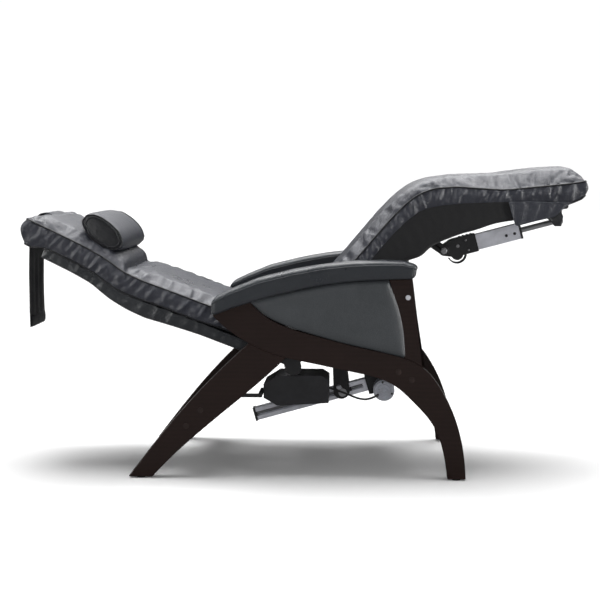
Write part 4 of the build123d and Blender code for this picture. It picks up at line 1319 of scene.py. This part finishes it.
LEAD_ROUTE = [(0.100, -0.150, 0.262), (0.150, -0.148, 0.246), (0.196, -0.140, 0.224), (0.234, -0.128, 0.220),
              (0.262, -0.1105, 0.234)]
LEAD_THICK = 0.007


def build_motor_lead():
    """Lead as one curve of even thickness, as long as its route."""
    curve = bpy.data.curves.new("motor_lead_cable", "CURVE")
    curve.dimensions = "3D"
    curve.bevel_depth = LEAD_THICK / 2
    curve.bevel_resolution = 6
    curve.use_fill_caps = True
    route = curve.splines.new("NURBS")
    route.points.add(len(LEAD_ROUTE) - 1)
    for point, place in zip(route.points, LEAD_ROUTE):
        point.co = (*place, 1.0)
    route.order_u = 3
    route.use_endpoint_u = True
    route.resolution_u = 16
    lead = bpy.data.objects.new("motor_lead_cable", curve)
    bpy.context.scene.collection.objects.link(lead)
    settle(lead, "base", cable_rubber, ("motor_lead",))


build_motor_lead()


# Floor, light and camera

FLOOR_REACH = 30.0


def place_floor():
    """White floor. The view sees it brighter than the object does."""
    mesh = bpy.data.meshes.new("floor")
    corners = [(FLOOR_REACH * x, FLOOR_REACH * y, 0) for x, y in ((-1, -1), (1, -1), (1, 1), (-1, 1))]
    mesh.from_pydata(corners, [], [(0, 1, 2, 3)])
    floor = bpy.data.objects.new("floor", mesh)
    bpy.context.scene.collection.objects.link(floor)
    f = Finish("studio_floor", specular_ior_level=0.0, emission_strength=0.02)
    seen = f.add("LightPath").outputs["Is Camera Ray"]
    white = f.mix(f.noise(f.place(), 2.0), (0.90, 0.90, 0.90), (0.92, 0.92, 0.92))
    f.colour(f.mix(seen, (0.18, 0.18, 0.18), white))
    f.feed(f.shader.inputs["Emission Color"], f.mix(seen, (0.0, 0.0, 0.0), (1.0, 1.0, 1.0)))
    f.roughness(0.9)
    mesh.materials.append(f.material)


SKY_LOW, SKY_HIGH = 0.15, 0.85        # heights on the sky's sphere between which it brightens
SKY_DARK, SKY_BRIGHT = 0.045, 0.46
SKY_SEEN = 1.02


def place_sky():
    """White sky to the view. To the object it is dark low down and bright overhead."""
    world = bpy.data.worlds.new("studio")
    world.use_nodes = True
    w = Wires(world.node_tree)
    background = w.nodes["Background"]
    seen = w.add("LightPath").outputs["Is Camera Ray"]
    height = w.add("SeparateXYZ", {0: w.add("TexCoord").outputs["Generated"]}).outputs["Z"]
    glow = w.spread(height, SKY_LOW, SKY_HIGH, SKY_DARK, SKY_BRIGHT)
    w.feed(background.inputs["Strength"], w.spread(seen, 0.0, 1.0, glow, SKY_SEEN))
    background.inputs["Color"].default_value = (1.0, 1.0, 1.0, 1.0)
    bpy.context.scene.world = world


def place_sun(name, direction, strength, spread):
    """Sun that shines in a direction, as wide as the spread in degrees."""
    light = bpy.data.lights.new(name, "SUN")
    light.energy = strength
    light.angle = math.radians(spread)
    lamp = bpy.data.objects.new(name, light)
    lamp.rotation_mode = "QUATERNION"
    lamp.rotation_quaternion = Vector(direction).to_track_quat("-Z", "Y")
    bpy.context.scene.collection.objects.link(lamp)


def place_area(name, location, target, size, power, diffuse=True, glossy=True):
    """Rectangular lamp aimed at a target. It may leave out the diffuse or the glossy share."""
    light = bpy.data.lights.new(name, "AREA")
    light.shape = "RECTANGLE"
    light.size, light.size_y = size
    light.energy = power
    lamp = bpy.data.objects.new(name, light)
    lamp.location = location
    lamp.rotation_mode = "QUATERNION"
    lamp.rotation_quaternion = (Vector(target) - Vector(location)).to_track_quat("-Z", "Y")
    lamp.visible_camera = False
    lamp.visible_diffuse = diffuse
    lamp.visible_glossy = glossy
    bpy.context.scene.collection.objects.link(lamp)


def place_camera():
    """Camera at the near side, a little above the arms and looking slightly down."""
    yaw, pitch = math.radians(-2.4378), math.radians(5.258)
    ahead = Vector((math.sin(yaw) * math.cos(pitch), math.cos(yaw) * math.cos(pitch), -math.sin(pitch)))
    lens = bpy.data.cameras.new("camera")
    lens.lens = 82.8
    lens.sensor_width = 36.0
    camera = bpy.data.objects.new("camera", lens)
    camera.location = (0.195, -4.624, 0.96228)
    camera.rotation_mode = "QUATERNION"
    camera.rotation_quaternion = ahead.to_track_quat("-Z", "Y")
    bpy.context.scene.collection.objects.link(camera)
    bpy.context.scene.camera = camera


place_floor()
place_sky()
place_sun("overhead", (0.0, -0.17, -1.0), 3.1, 46)
place_area("back_softbox", (0.0, 2.3, 2.5), (0.0, 0.0, 0.6), (3.6, 1.0), 50, diffuse=False)
place_area("high_strip", (0.0, 0.7, 3.0), (0.0, 0.0, 0.6), (3.2, 0.35), 30)
place_area("head_strip", (-3.2, -1.6, 1.3), (-0.2, -0.2, 0.6), (0.4, 1.8), 75, diffuse=False)
place_area("foot_strip", (3.4, -0.9, 1.2), (0.3, -0.2, 0.5), (0.4, 1.8), 125, diffuse=False)
place_area("front_fill", (0.2, -4.0, 0.9), (0.1, 0.0, 0.5), (2.5, 1.0), 44, glossy=False)
place_camera()
bpy.context.scene.view_settings.view_transform = "Standard"

bpy.context.view_layer.update()
